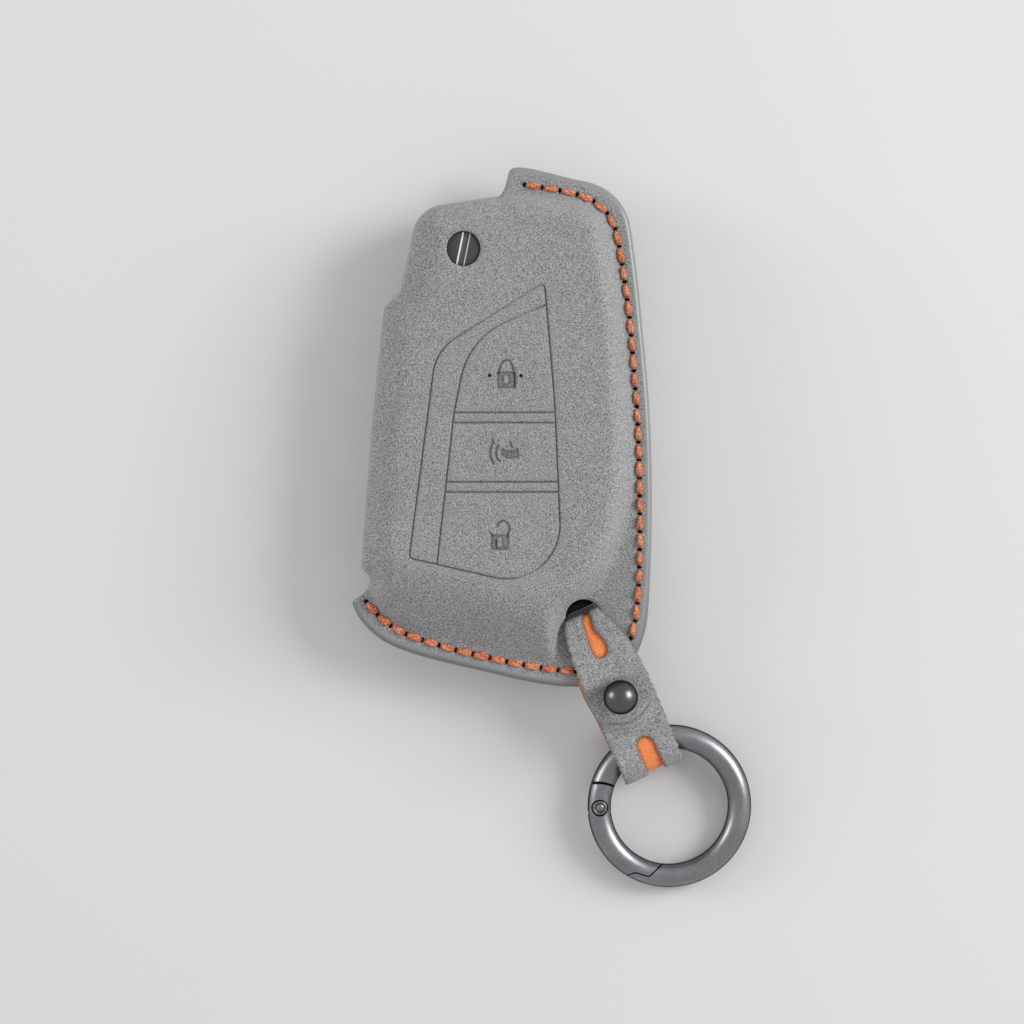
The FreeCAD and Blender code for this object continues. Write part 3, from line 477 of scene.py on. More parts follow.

# %% [markdown]
# Suede is leather with its fibres brushed up. Close up it is a felt of short hairs that all lean
# one way, so the grain is a fine noise drawn out along that way, with a coarser one for tufts and
# a slow one for the cloudy marks that hands leave. Where the leather was pressed hot or its edge
# was rubbed smooth the nap lies flat, and where it bends the nap stands up: the material reads
# those places from numbers kept on the mesh. The number for the hot pressing also carries painted
# shade inside the cover, in holes and creases and along the outer rim, and above 1 it paints the
# colour nearly black. The sheen is set on the shader.

# %% Suede
HAIRS = 6600
TUFTS = 1300
CLOUDS = 90
NAP_WAY = math.radians(58)
NAP_STRETCH = (1.7, 1, 1)
NAP_RELIEF = 0.08


def suede(name, tint, grain, coarse):
    """Suede of one colour; the numbers are how strong the grain is and how large."""
    material, spot, shader = finish(name, Sheen_Weight=0.15, Sheen_Roughness=0.5,
                                    Specular_IOR_Level=0.12, Coat_Roughness=0.26)
    leaning = spot.node("ShaderNodeMapping", {"vector_type": "TEXTURE"},
                        {"Vector": spot, "Rotation": (0, 0, NAP_WAY), "Scale": NAP_STRETCH})
    hair = leaning.noise(HAIRS / coarse, 1, 0.5, 0.3)
    tuft = spot.noise(TUFTS / coarse, 2, 0.6, 0.8)
    cloud = spot.noise(CLOUDS, 3)
    pressed_and_shade, rubbed, ruffled = [spot.stored(key) for key in ("pressed_and_shade", "rubbed", "ruffled")]
    flat = (rubbed * 0.92).sum("MAXIMUM", pressed_and_shade.sum("MINIMUM", 1) * 0.6)
    nap = ((hair - 0.5) * 3 + (tuft - 0.5) * 0.3) * (1 + ruffled * 0.2) * (1 - flat)
    light = 0.5 + nap * grain + (cloud - 0.5) * 0.1 - pressed_and_shade * (0.2 + hair * 0.4) - rubbed * 0.04
    low, high = [[part * share for part in linear(*tint)[:3]] + [1] for share in (0.25, 1.75)]
    # Painted shade: where the pressing-and-shade number passes 1, the colour goes toward near black.
    colour = (pressed_and_shade - 1).held().mix(light.held().mix(low, high), linear(5))
    feed(shader, Base_Color=colour, Roughness=0.95 - rubbed * 0.4, Coat_Weight=rubbed * 0.9,
         Normal=(nap * 0.5 + 0.5).bump(0.5, NAP_RELIEF * coarse))
    return material


grey_suede = suede("grey_suede", (150, 150, 150), 0.66, 1.0)
strap_suede = suede("strap_suede", (154, 153, 153), 0.7, 1.02)
orange_suede = suede("orange_suede", (253, 150, 92), 0.32, 1.02)
print("suedes:", grey_suede.name, strap_suede.name, orange_suede.name)

# %% [markdown]
# The front panel was wetted and pressed over the key. Its height is worked out at every point:
# walls rise from the sewn edge and from the lip of the open side, a long ramp rises from the
# toe, and the lowest of them wins with a soft round, the way wet leather bridges a corner.

# %% Front panel: height
SEAM = 8.8
LEATHER = 1.2
FLANGE_TOP = SEAM + LEATHER
FRONT_TOP = 16.4
FRONT_WALL = 2.05
LIP_TOP = 12.1
LIP_WALL = 1.15
TAB_DROP = 1.5
TOE_SPOT = np.array((-24.3, -32.7))
TOE_WAY = np.array((0.2368, 0.9715))
TOE_RUN = 8.6
EDGE_FOOT = 0.06
WALL_ROUND = 1.5
TOE_ROUND = 2.0
TOP_ROUND = 2.4
FOOT_ROUND = 0.6
FOOT = [(-1.5, 39.3), (2.2, 39.55), (7.8, 39.25), (12.0, 38.4), (14.5, 37.4), (16.5, 35.8),
        (17.9, 33.3), (18.5, 30.4), (19.45, 24.1), (20.35, 17.4), (21.05, 8.0), (21.6, 1.7),
        (21.85, -6.0), (21.4, -13.0), (20.0, -18.5), (17.8, -24.3), (14.6, -28.7), (13.0, -30.3),
        (10.6, -31.8), (9.4, -34.5), (9.0, -37.5), (8.6, -39.8), (6.5, -40.2), (3.2, -39.6),
        (-2.4, -38.4), (-8.1, -37.1), (-13.9, -35.3), (-16.8, -34.3), (-19.3, -32.8), (-21.3, -31.0),
        (-22.7, -28.8), (-22.9, -26.3)]
foot = softened(FOOT)
foot_ring = np.vstack([foot, [(-60, -26.3), (-60, 60), (-1.5, 60)]])


def past_foot(points):
    """Distance from the foot of the sewn wall, above 0 on the side of the key."""
    return np.where(inside(points, foot_ring), 1, -1) * reach(points, foot)


def off_tab(points, start, end):
    """0 at the corner where the tab starts, 1 away from it."""
    return ease(gap(points, sewn_edge[0]), start, end)


def front_bulge(points):
    """Height of the outer face, before anything is pressed into it."""
    sewn = FLANGE_TOP + FRONT_WALL * past_foot(points)
    lip = LIP_TOP + LIP_WALL * reach(points, open_edge) - TAB_DROP * (1 - off_tab(points, 0, 1.8))
    toe = FLANGE_TOP + (points - TOE_SPOT) @ TOE_WAY * (FRONT_TOP - FLANGE_TOP) / TOE_RUN
    wall = soft_min(soft_min(sewn, lip, WALL_ROUND), toe, TOE_ROUND)
    return -soft_min(-soft_min(wall, FRONT_TOP, TOP_ROUND), -FLANGE_TOP, FOOT_ROUND)


def rim_width(points):
    """The rubbed band is wider along the bottom."""
    return 1.0 + 0.3 * ease(-points[:, 1], 20, 40)


def edge_round(points, height):
    """The rubbed round along the sewn edge, and the small round of the lip."""
    rim = reach(points, sewn_edge) / rim_width(points) + 1 - off_tab(points, 0.2, 2.4)
    rim = np.clip(rim, 0, 1)
    rolled = SEAM + EDGE_FOOT + (LEATHER - EDGE_FOOT) * np.sqrt(1 - (1 - rim) ** 2)
    height = np.where(rim < 1, np.minimum(height, rolled), height)
    return height - rolled_off(reach(points, open_edge), 0.6, 0.4)


probe = np.array([(0, 0), (21, 0), (-21.5, 0), (0, -36.0)], float)
print("front heights:", front_bulge(probe).round(2))

# %% [markdown]
# The buttons show through as lines and signs that were pressed with a hot die: a border, three
# button outlines, a closed lock, a horn with two sound waves and an open lock. Each is a line or
# a shape in plan, and it lowers the height by a fraction of a millimetre. Two pin holes beside
# the closed lock are deeper. This is shape in the mesh, so it also catches light from the side.

# %% Pressed lines and signs
BORDER = [(6.6, 23.9, 0.6), (8.3, 4.0, 100), (9.7, -28.1, 9), (-16.0, -22.2, 0.6), (-11.5, 12.5, 8)]
INNER = [(-11.35, -23.2, 0), (-8.5, 2.1, 20), (-6.0, 14.6, 13), (6.9, 20.1, 0)]
BARS = [[(-8.6, 2.1, 0), (8.05, 2.1, 0)], [(-8.8, 0.4, 0), (8.15, 0.4, 0)],
        [(-9.85, -9.5, 0), (8.75, -9.5, 0)], [(-10.0, -11.2, 0), (8.85, -11.2, 0)]]
LOCK_ARCH = [(-1.22, 8.6), (-0.95, 9.0), (-0.84, 9.87), (-0.36, 10.55), (0.15, 10.85), (0.7, 10.82),
             (1.0, 10.4), (1.28, 9.7), (1.52, 8.75), (1.66, 8.3)]
OPEN_ARCH = [(-1.32, -16.85), (-0.95, -16.32), (-0.35, -15.88), (0.23, -16.15), (0.7, -16.85),
             (0.78, -17.5), (0.45, -18.1), (0.52, -18.6)]
FAR_WAVE = [(-2.1, -2.45), (-1.9, -2.9), (-2.35, -3.7), (-2.52, -4.6), (-2.42, -5.4), (-2.15, -6.0),
            (-1.88, -6.45)]
NEAR_WAVE = [(-1.12, -3.5), (-1.4, -3.95), (-1.5, -4.7), (-1.42, -5.3), (-1.15, -5.85), (-0.85, -5.98)]
HORN = [(-0.45, -3.95, 0.1), (0.2, -4.3, 1.2), (1.5, -4.32, 1.0), (2.2, -3.75, 0.15),
        (2.27, -5.41, 0.15), (0.5, -5.6, 0.3), (-0.65, -4.95, 0.3)]
TICKS = [[(0.88, -2.88), (1.2, -3.75)], [(-2.5, -18.0), (-2.1, -18.4)], [(1.7, 8.6), (1.68, 6.3)],
         [(-1.42, -19.3), (-1.4, -20.4)]]
PIN_HOLES = np.array([(-2.57, 8.28), (2.68, 8.25)])
DARK_LINE = 1.05
# Painted shade: the pin holes and the awl holes are painted nearly black.
HOLE_SHADE = 1.9
border = rounded(BORDER)
press_lines = [np.vstack([border, border[:1]])]
press_lines += [rounded(line, closed=False) for line in [INNER] + BARS]
sign_shapes = [plate(-1.22, 6.24, 1.68, 8.85), plate(-2.27, -20.78, 0.58, -18.36), rounded(HORN, step=0.1)]
sign_eyes = [plate(-0.21, 6.92, 0.61, 8.3, 0.4), plate(-1.25, -20.4, -0.5, -18.7, 0.3)]
sign_lines = [softened(line) for line in (LOCK_ARCH, OPEN_ARCH, FAR_WAVE, NEAR_WAVE)]
sign_lines += [np.array(tick) for tick in TICKS]


def pressing(points):
    """How far the die went in at each point, in millimetres, and how dark it left the nap, with painted
    shade in the two pin holes.
    """
    x, y = points.T
    line = nearest(points, press_lines)
    faint = 1 - 0.45 * ease(y, 10, 20) * (1 - ease(x, 5.5, 6.6))
    faint *= 1 - ease(x, 1, 3) * (1 - ease(x, 5, 6.5)) * (y < -22) * 0.5
    groove = bell(line, 0.13) * faint
    soft = bell(line, 0.7) * faint
    body = np.max([ease(depth(points, shape), -0.08, 0.1) for shape in sign_shapes], 0)
    rim = bell(nearest(points, sign_shapes, True), 0.12)
    lash = np.max([bell(depth(points, shape) + 0.12, 0.1) for shape in sign_eyes], 0)
    eye = np.max([ease(depth(points, shape), -0.08, 0.08) for shape in sign_eyes], 0)
    stroke = bell(nearest(points, sign_lines), 0.19)
    pins = 1 - ease(np.min([gap(points, spot) for spot in PIN_HOLES], 0), 0.14, 0.34)
    body = body * (1 - eye)
    sunk = 0.30 * groove + 0.06 * soft + 0.14 * body + 0.12 * rim + 0.2 * stroke + 0.7 * pins
    dark = 0.95 * groove + 0.6 * body + 0.55 * np.maximum(rim, lash) + 1.05 * stroke - 0.35 * eye
    return sunk, np.maximum(np.clip(dark, -0.3, DARK_LINE), HOLE_SHADE * pins)


dense = honeycomb(border.min(0) - 1, border.max(0) + 1, 0.15)
near = nearest(dense, press_lines) < 0.42
for shape in sign_shapes + sign_eyes + sign_lines:
    near |= boxed(dense, shape, 0.45)
for spot in PIN_HOLES:
    near |= gap(dense, spot) < 0.6
press_points = dense[near]
print("points for the pressing:", len(press_points))

# %% [markdown]
# The seams are saddle stitched at 3 mm. Their lines are needed twice: the panels are pulled in at
# every awl hole, and the thread follows the same points. So the holes are found first.

# %% Stitch lines
PITCH = 3.0
AWL_LENGTH = 0.5
AWL_WIDTH = 0.52
SEAMS = {
    "side_thread": [(3.3, 40.75), (8.0, 40.0), (12.2, 39.2), (14.9, 38.1), (17.1, 36.3), (18.6, 33.6),
                    (19.25, 30.5), (20.2, 24.2), (21.1, 17.5), (21.8, 8.1), (22.35, 1.7), (22.65, -8.3),
                    (22.75, -18.2), (22.65, -24.6), (22.2, -31.3), (21.65, -34.6), (21.2, -35.8)],
    "bottom_thread": [(-23.4, -29.6), (-21.8, -31.6), (-19.7, -33.5), (-17.1, -35.0), (-14.1, -36.0),
                      (-11.2, -37.0), (-8.3, -37.8), (-2.6, -39.1), (3.1, -40.3), (8.9, -41.2),
                      (11.9, -41.4)],
}
seam_holes = {name: evenly(softened(track), PITCH) for name, track in SEAMS.items()}
all_holes = np.vstack(list(seam_holes.values()))
hole_ways = np.vstack([np.gradient(holes, axis=0) for holes in seam_holes.values()])
hole_ways /= np.hypot(*hole_ways.T)[:, None]


def awl(points):
    """Distance to the nearest awl hole in lengths of its half width: the holes are diamonds."""
    best = np.full(len(points), 99.0)
    for spot, way in zip(all_holes, hole_ways):
        close = np.abs(points - spot).max(1) < 3
        off = points[close] - spot
        along, across = off @ way, off @ (-way[1], way[0])
        best[close] = np.minimum(best[close], np.abs(along) / AWL_LENGTH + np.abs(across) / AWL_WIDTH)
    return best


def puckers(points):
    """How far the thread pulls the leather in round each awl hole."""
    near = awl(points)
    return 0.6 * (1 - ease(near, 0.35, 1.15)) + 0.1 * bell(near, 2.2)


# Painted shade in the awl holes: nearly black round each diamond.
def awl_hole_shade(points):
    return HOLE_SHADE * (1 - ease(awl(points), 0.75, 1.2))


print("stitches:", {name: len(holes) - 1 for name, holes in seam_holes.items()})

# %% [markdown]
# Now the front panel is cut out: the plan edge, the strap's hole and the hole for the release
# button. Fine points follow the rim, the pressing and the awl holes; the rest is a honeycomb.

# %% Points for the panels
STRAP_SPOT = np.array((13.0, -31.3))
STRAP_WAY = np.array((0.4115, -0.9114))
STRAP_ACROSS = np.array((0.9114, 0.4115))
STRAP_HOLE = np.array((13.15, -32.1))
PIVOT = np.array((-6.9, 29.5))
HOLE_RADIUS = 2.9
ROUND_HOLES = (STRAP_HOLE, PIVOT)
RIM_STEPS = (0.06, 0.16, 0.32, 0.55, 0.8, 1.05, 1.3)
AWL_RINGS = ((0.001, 1), (0.15, 6), (0.28, 10), (0.4, 14), (0.55, 14), (0.75, 12))
COLLARS = (0.12, 0.3, 0.6)
strap_hole = circle(STRAP_HOLE, HOLE_RADIUS)
release_hole = PIVOT + circle((0, 0), HOLE_RADIUS) * (0.98, 1.02)


def rim_rows(line, steps):
    """Rows of points inside a closed line, at those distances from it."""
    way = np.roll(line, -1, 0) - np.roll(line, 1, 0)
    across = np.stack([way[:, 1], -way[:, 0]], 1) / np.hypot(*way.T)[:, None]
    rows = []
    for step in steps:
        row = line + across * step
        if not inside(row, line).mean() > 0.5:
            row = line - across * step
        rows.append(row[reach(row, line, True) > step * 0.93])
    return np.vstack(rows)


hole_rings = np.vstack([circle(spot, radius, count) for spot in all_holes for radius, count in AWL_RINGS])
rim_points = rim_rows(panel_edge, RIM_STEPS)
collar = np.vstack([circle(spot, HOLE_RADIUS + step, 60) for step in COLLARS for spot in ROUND_HOLES])
base = honeycomb(panel_edge.min(0), panel_edge.max(0), 0.75)
base = base[reach(base, panel_edge, True) > 1.5]
clear = nearest(base, press_lines + sign_shapes + sign_lines) > 0.6
for spot in all_holes:
    clear &= gap(base, spot) > 0.95
for spot in ROUND_HOLES:
    clear &= gap(base, spot) > HOLE_RADIUS + 0.8
for shape in sign_shapes + sign_lines:
    clear &= ~boxed(base, shape, 0.6)
front_fine = np.vstack([base[clear], press_points, hole_rings, rim_points, collar])
front_coarse = np.vstack([base[::2], rim_points])
print("points of the front:", len(front_fine), "outside and", len(front_coarse), "inside")

# %% Front panel
# Painted shade: the inside faces of both panels are painted nearly black, as the inside of the cover lies in
# shade.
INSIDE_SHADE = 1.8
MOST_STRETCH = 2.2
SEAM_GAP = 0.03
BLADE_ROOM = 1.25


def rises(surface, points, step):
    """How steeply a surface rises along X and along Y."""
    level = surface(points)
    return [(surface(points + way) - level) / step for way in np.eye(2) * step]


def thickness(surface, points):
    """Thickness of the leather measured upright, which is more where it is steep."""
    along_x, along_y = rises(surface, points, 0.1)
    return LEATHER * np.minimum(np.sqrt(1 + along_x ** 2 + along_y ** 2), MOST_STRETCH)


def blade_room(points):
    """Half the gap at the seam, wider in the mouth left of the tab where the blade swings out."""
    x, y = points.T
    return SEAM_GAP + BLADE_ROOM * (ease(-1.0 - x, 0, 0.25) * (y > 36))


def front_upper(points):
    hole_edge = np.min([gap(points, spot) for spot in ROUND_HOLES], 0) - HOLE_RADIUS
    height = front_bulge(points) - pressing(points)[0] - puckers(points) - rolled_off(hole_edge, 0.5, 0.3)
    return np.column_stack([points, edge_round(points, height)])


def front_lower(points):
    height = front_bulge(points) - thickness(front_bulge, points)
    return np.column_stack([points, np.maximum(height, SEAM + blade_room(points))])


def surface_marks(made, flat, bulge, dark):
    """Where the edge is rubbed smooth and the nap is pressed or stands up, kept on the mesh, with the
    painted shade that is given and painted shade along the outer rim.
    """
    rim = reach(flat, sewn_edge)
    rub = 1 - ease(rim - rim_width(flat), -0.15, 0.12)
    rub = np.maximum(rub, 0.6 * (1 - ease(reach(flat, open_edge), 0.2, 0.6)))
    steep = ease(np.hypot(*rises(bulge, flat, 0.2)), 0.15, 0.6)
    low = 1 - ease(np.abs(bulge(flat) - SEAM), LEATHER + 0.3, LEATHER + 1.0)
    # Painted shade on the outer part of the rubbed rim, stronger along the bottom edge that faces away from
    # the light.
    outer = 1 - ease(rim / rim_width(flat), 0.05, 0.8)
    outer *= 0.3 + 0.5 * ease(-flat[:, 1], 15, 35)
    mark(made, "rubbed", rub * off_tab(flat, 0.2, 2.4))
    mark(made, "ruffled", np.maximum(0.6 * steep, low))
    mark(made, "pressed_and_shade", np.maximum(dark, outer))


front_panel, flat, flat_low = leather_sheet("suede_front", [panel_edge, strap_hole, release_hole],
                                            front_fine, front_coarse, front_upper, front_lower, grey_suede)
# Dark numbers of the front: the hot pressing, painted shade in the awl holes, and painted shade on the
# inside face.
dark = np.concatenate([np.maximum(pressing(flat)[1], awl_hole_shade(flat)), np.full(len(flat_low), INSIDE_SHADE)])
surface_marks(front_panel, np.vstack([flat, flat_low]), front_bulge, dark)
dress(front_panel, "cover", "front_panel")

# %% [markdown]
# The back panel has the same edge and seams. It is a plain tray, moulded round the back of the
# key, and flat where the cover lies on the table, so it needs only the walls and the floor.

# %% Back panel
BACK_WALL = 2.3
BACK_LIP = SEAM - 5.4
BACK_LIP_WALL = 1.5
BACK_FOOT_ROUND = 1.0
SLIT = (-2.65, -1.3, 2.65, 0.4, 0.3)


def back_tray(points):
    """Height of the outer face of the back."""
    sewn = LEATHER + BACK_WALL * past_foot(points)
    lip = BACK_LIP + BACK_LIP_WALL * reach(points, open_edge)
    drop = soft_min(soft_min(sewn, lip, WALL_ROUND), SEAM, TOP_ROUND)
    return SEAM + soft_min(-drop, -LEATHER, BACK_FOOT_ROUND)


def back_lower(points):
    height = 2 * SEAM - edge_round(points, 2 * SEAM - back_tray(points) - puckers(points))
    return np.column_stack([points, np.maximum(height, 0)])


def back_upper(points):
    height = back_tray(points) + thickness(back_tray, points)
    return np.column_stack([points, np.minimum(height, SEAM - blade_room(points))])


back_fine = np.vstack([base, hole_rings, rim_points])
slit = STRAP_SPOT + plate(*SLIT) @ [STRAP_ACROSS, -STRAP_WAY]
back_panel, flat, flat_low = leather_sheet("suede_back", [panel_edge, slit], back_fine, back_fine,
                                           back_upper, back_lower, grey_suede)
# Dark numbers of the back: painted shade on the inside face, and painted shade in the awl holes outside.
dark = np.concatenate([np.full(len(flat), INSIDE_SHADE), awl_hole_shade(flat_low)])
surface_marks(back_panel, np.vstack([flat, flat_low]), back_tray, dark)
dress(back_panel, "cover", "back_panel")

# %% [markdown]
# The thread is waxed polyester, three strands laid together. One stitch is a plump grain whose
# ends dive into the awl holes. It repeats along both seams on both faces, which is what Geometry
# Nodes are for: the tree walks a line, sets a stitch at each pitch, turns it along the line, and
# turns it over on the back. Its sizes are inputs and its small irregularity has a fixed seed.

# %% Thread finish
orange_thread, spot, shader = finish("orange_thread", Sheen_Weight=0.2, Specular_IOR_Level=0.35)
fibre = spot.noise(4600, 2, 0.7, 0.8)
patch = spot.noise(420, 2)
# The groove number darkens the thread: painted shade between the strands, under the stitch and at its ends.
tone = (fibre - 0.5) * 3 + 0.54 + (patch - 0.5) * 0.4 - spot.stored("groove") * 0.45
colour = tone.between(0.05, 1.05).mix(linear(160, 44, 18), linear(255, 180, 126))
feed(shader, Base_Color=colour, Roughness=0.55 + fibre * 0.2, Normal=fibre.bump(0.4, 0.06))
print("thread:", orange_thread.name)

# %% One stitch
STITCH_LENGTH = 2.72
STITCH_RISE = 0.62
STRANDS = 3
TWIST = 3.4


def grid(rings, around, closed):
    """Faces between rings of points; closed joins the last ring to the first."""
    corners = ((0, 0), (1, 0), (1, 1), (0, 1))
    return [tuple((i + di) % rings * around + (j + dj) % around for di, dj in corners)
            for i in range(rings if closed else rings - 1) for j in range(around)]


def stitch_mesh(width, rings=21, around=18):
    """A twisted grain of thread along X, with its ends below the leather."""
    points, thread_shade = [], []
    for i in range(rings):
        t = -1 + 2 * i / (rings - 1)
        thick = max(0.15, math.sqrt(1 - abs(t) ** 2.5))
        centre = STITCH_RISE * (0.40 - 1.1 * abs(t) ** 4.5)
        for j in range(around):
            turn = 2 * math.pi * j / around
            lobe = math.cos(STRANDS * turn - TWIST * t)
            radius = thick * (1 + 0.09 * lobe)
            points.append((t * STITCH_LENGTH / 2, width / 2 * radius * math.cos(turn),
                           centre + STITCH_RISE / 1.6 * radius * math.sin(turn)))
            # Painted shade on the thread: darker in the grooves between the strands, on the lower side and
            # at the ends that dive into the holes.
            thread_shade.append(max(0.0, -lobe) * 0.4 + 1.5 * max(0.0, 0.55 - math.sin(turn)) + abs(t) ** 6)
    faces = [face[::-1] for face in grid(rings, around, False)]
    faces += [tuple(range(around)), tuple(range(rings * around - 1, (rings - 1) * around - 1, -1))]
    made = piece("one_stitch", points, faces, orange_thread, 80)
    mark(made, "groove", thread_shade)
    return made


stitch_of = {"side_thread": stitch_mesh(1.05), "bottom_thread": stitch_mesh(1.22)}
print("one stitch:", len(stitch_of["side_thread"].data.polygons), "faces")


# %% The stitching tree
def stitching_tree():
    tree = bpy.data.node_groups.new("saddle_stitching", "GeometryNodeTree")
    sockets = {}
    for name, kind in (("Line", "Geometry"), ("Stitch", "Object"), ("Pitch", "Float"), ("Seam", "Float"),
                       ("Slant", "Float"), ("Unevenness", "Float"), ("Thread", "Material")):
        sockets[name] = tree.interface.new_socket(name, in_out="INPUT",
                                                  socket_type="NodeSocket" + kind).identifier
    tree.interface.new_socket("Stitches", in_out="OUTPUT", socket_type="NodeSocketGeometry")
    wire = Wire(tree)
    given = tree.nodes.new("NodeGroupInput")
    value = {name: Wire(tree, given.outputs[name]) for name in sockets}

    def turn_by(rotation, axis, angle):
        by = wire.node("FunctionNodeAxisAngleToRotation", {}, {"Axis": axis, "Angle": angle})
        return wire.node("FunctionNodeRotateRotation", {"rotation_space": "LOCAL"}, {0: rotation, 1: by})

    def chance(seed):
        draw = {2: -1.0, 3: 1.0, "Seed": seed}
        return wire.node("FunctionNodeRandomValue", {"data_type": "FLOAT"}, draw, 1) * value["Unevenness"]

    curve = wire.node("GeometryNodeMeshToCurve", {}, {"Mesh": value["Line"]})
    full = wire.node("GeometryNodeSplineLength")
    trimmed = wire.node("GeometryNodeTrimCurve", {"mode": "LENGTH"},
                        {"Curve": curve, 4: value["Pitch"] * 0.5, 5: full - value["Pitch"] * 0.5})
    count = (full / value["Pitch"]).sum("ROUND") + 1
    spaced = wire.node("GeometryNodeResampleCurve", {"mode": "COUNT"}, {"Curve": trimmed, "Count": count})
    turned = wire.node("FunctionNodeAlignRotationToVector", {"axis": "X", "pivot_axis": "Z"},
                       {"Vector": wire.node("GeometryNodeInputTangent")})
    height = wire.node("ShaderNodeSeparateXYZ", {}, {0: wire.node("GeometryNodeInputPosition")}, 2)
    turned = turn_by(turned, (1, 0, 0), height.sum("LESS_THAN", value["Seam"]) * math.pi)
    turned = turn_by(turned, (0, 0, 1), value["Slant"])
    turned = turn_by(turned, (0, 0, 1), chance(7))
    shape = wire.node("GeometryNodeObjectInfo", {}, {"Object": value["Stitch"]}, "Geometry")
    placed = wire.node("GeometryNodeInstanceOnPoints", {}, {"Points": spaced, "Instance": shape,
                                                            "Rotation": turned, "Scale": 1 + chance(19)})
    real = wire.node("GeometryNodeRealizeInstances", {}, {0: placed})
    dressed = wire.node("GeometryNodeSetMaterial", {}, {"Geometry": real, "Material": value["Thread"]})
    out = tree.nodes.new("NodeGroupOutput")
    tree.links.new(dressed.socket, out.inputs[0])
    return tree, sockets


stitching, stitching_sockets = stitching_tree()
print("stitching takes", list(stitching_sockets))


# %% Sewing
def settled(made):
    """The shape that an object's modifiers give, as its own plain mesh without modifiers."""
    bpy.context.view_layer.update()
    graph = bpy.context.evaluated_depsgraph_get()
    mesh = bpy.data.meshes.new_from_object(made.evaluated_get(graph), preserve_all_data_layers=True,
                                           depsgraph=graph)
    made.modifiers.clear()
    made.data = mesh
    return made


def sewn(name, node, holes):
    """A row of stitches on the front and one on the back, from hole to hole."""
    count = len(holes)
    pitch = np.hypot(*np.diff(holes, axis=0).T).mean()
    rows = [np.column_stack([holes, np.full(count, level)])
            for level in (FLANGE_TOP - 0.02, SEAM - LEATHER + 0.02)]
    edges = [(i, i + 1) for i in range(count - 1)]
    edges += [(count + a, count + b) for a, b in edges]
    mesh = bpy.data.meshes.new(name)
    mesh.from_pydata((np.vstack(rows) * MM).tolist(), edges, [])
    thread = added(name, mesh)
    work = thread.modifiers.new("stitching", "NODES")
    work.node_group = stitching
    for socket, setting in (("Stitch", stitch_of[node]), ("Pitch", pitch * MM), ("Seam", SEAM * MM),
                            ("Slant", math.radians(3)), ("Unevenness", 0.07), ("Thread", orange_thread)):
        work[stitching_sockets[socket]] = setting
    dress(settled(thread), "cover", node)


for node, holes in seam_holes.items():
    sewn("sewn_" + node.split("_")[0], node, holes)
for made in stitch_of.values():
    bpy.data.objects.remove(made)

# %% [markdown]
# The strap is one strip of two plies, grey suede outside and orange inside. It comes from the
# back, passes up through the hole, runs under the ball stud, folds round the ring and returns
# between the two layers at the stud. Its pattern is flat, so each ply is cut from a flat sheet
# and then laid along the path, which is drawn from the side: along the strap and up.

# %% Path of the strap
STUD_AT = 15.7
FACE_PLY = 0.6
LINING = 0.5
CREASE_AT = 20.1
PATH = [(17.5, 7.3, 0), (12.8, 7.3, 2), (11.0, 6.6, 2), (0.25, 6.6, 1), (0.25, 11.2, 1.7),
        (12.3, 11.2, 2.5), (14.2, 9.5, 2.5), (19.4, 9.5, 3), (22.0, 7.7, 3), (29.7, 7.7, 3.5),
        (29.7, 0.6, 3.5), (22.3, 0.6, 3), (18.6, 8.45, 1.4), (13.6, 8.45, 0)]
path = rounded(PATH, closed=False, step=0.1)
path_run = running(path)
path_way = np.gradient(path, axis=0)
path_up = np.stack([-path_way[:, 1], path_way[:, 0]], 1) / np.hypot(*path_way.T)[:, None]
top_start = int(np.argmin(gap(path, (0.85, 10.7))))
fold_end = int(np.argmax(path[:, 0] + 1e-3 * path[:, 1]))
rise_run = path_run[int(np.argmin(gap(path, (0.25, 7.8))))]


def run_at(along):
    """Length along the strip of a place on the front run, given by its distance from the hole."""
    return np.interp(along, path[top_start:fold_end, 0], path_run[top_start:fold_end])


def bent_run(points):
    """Length along the strip, with the bend below the stud drawn into an arc."""
    along, across = points.T
    crease = ease(along, run_at(16.5), run_at(19.5)) * (1 - ease(along, run_at(21.5), run_at(24)))
    return along + 0.11 * np.minimum(across ** 2, 25) * crease


def on_strap(points, offset):
    """Places in space for points of the flat strip, lifted off the path by an offset."""
    along, across = points.T
    bent = bent_run(points)
    flat = np.stack([np.interp(where, path_run, path[:, i]) for i, where in enumerate((along, bent))], 1)
    up = np.stack([np.interp(bent, path_run, path_up[:, i]) for i in (0, 1)], 1)
    dent = 0.16 * bell(bent - run_at(CREASE_AT), 0.32)
    flat = flat + up * (np.asarray(offset) - dent)[:, None]
    plan = STRAP_SPOT + flat[:, :1] * STRAP_WAY + across[:, None] * STRAP_ACROSS
    return np.column_stack([plan, flat[:, 1]])


print("strip length: %.1f mm" % path_run[-1])

# %% Outlines of the strap
PLAN_AT = [-2, 0.0, 0.8, 1.7, 3.2, 5.2, 7.8, 10.5, 13.6, 16.0, 19.4, 24.0, 29.7, 31]
PLAN_LEFT = [2.35, 2.5, 3.4, 4.0, 4.5, 4.75, 5.0, 5.3, 5.45, 5.4, 5.2, 5.2, 5.2, 5.2]
PLAN_RIGHT = [2.35, 2.4, 2.75, 3.1, 3.8, 4.6, 5.3, 5.65, 5.8, 5.8, 5.75, 5.7, 5.4, 5.4]
UNDER_NARROWER = 0.8
LINING_INSET = 0.25
DROP = [(0.3, 0.75), (0.6, -0.1), (1.3, -0.55), (2.4, -0.9), (4.1, -1.05), (5.7, -1.24), (6.8, -1.34),
        (7.7, -1.15), (8.35, -0.55), (8.55, 0.1), (8.3, 0.75), (7.6, 1.35), (6.6, 1.56), (5.7, 1.42),
        (4.6, 0.98), (3.6, 0.64), (2.6, 0.7), (1.3, 0.98), (0.5, 1.05), (0.3, 0.75)]
FOLD_WINDOW_AT = 25.1
FOLD_WINDOW_RADIUS = 1.52
FOLD_WINDOW_ASIDE = 0.5
shake = np.random.default_rng(5)


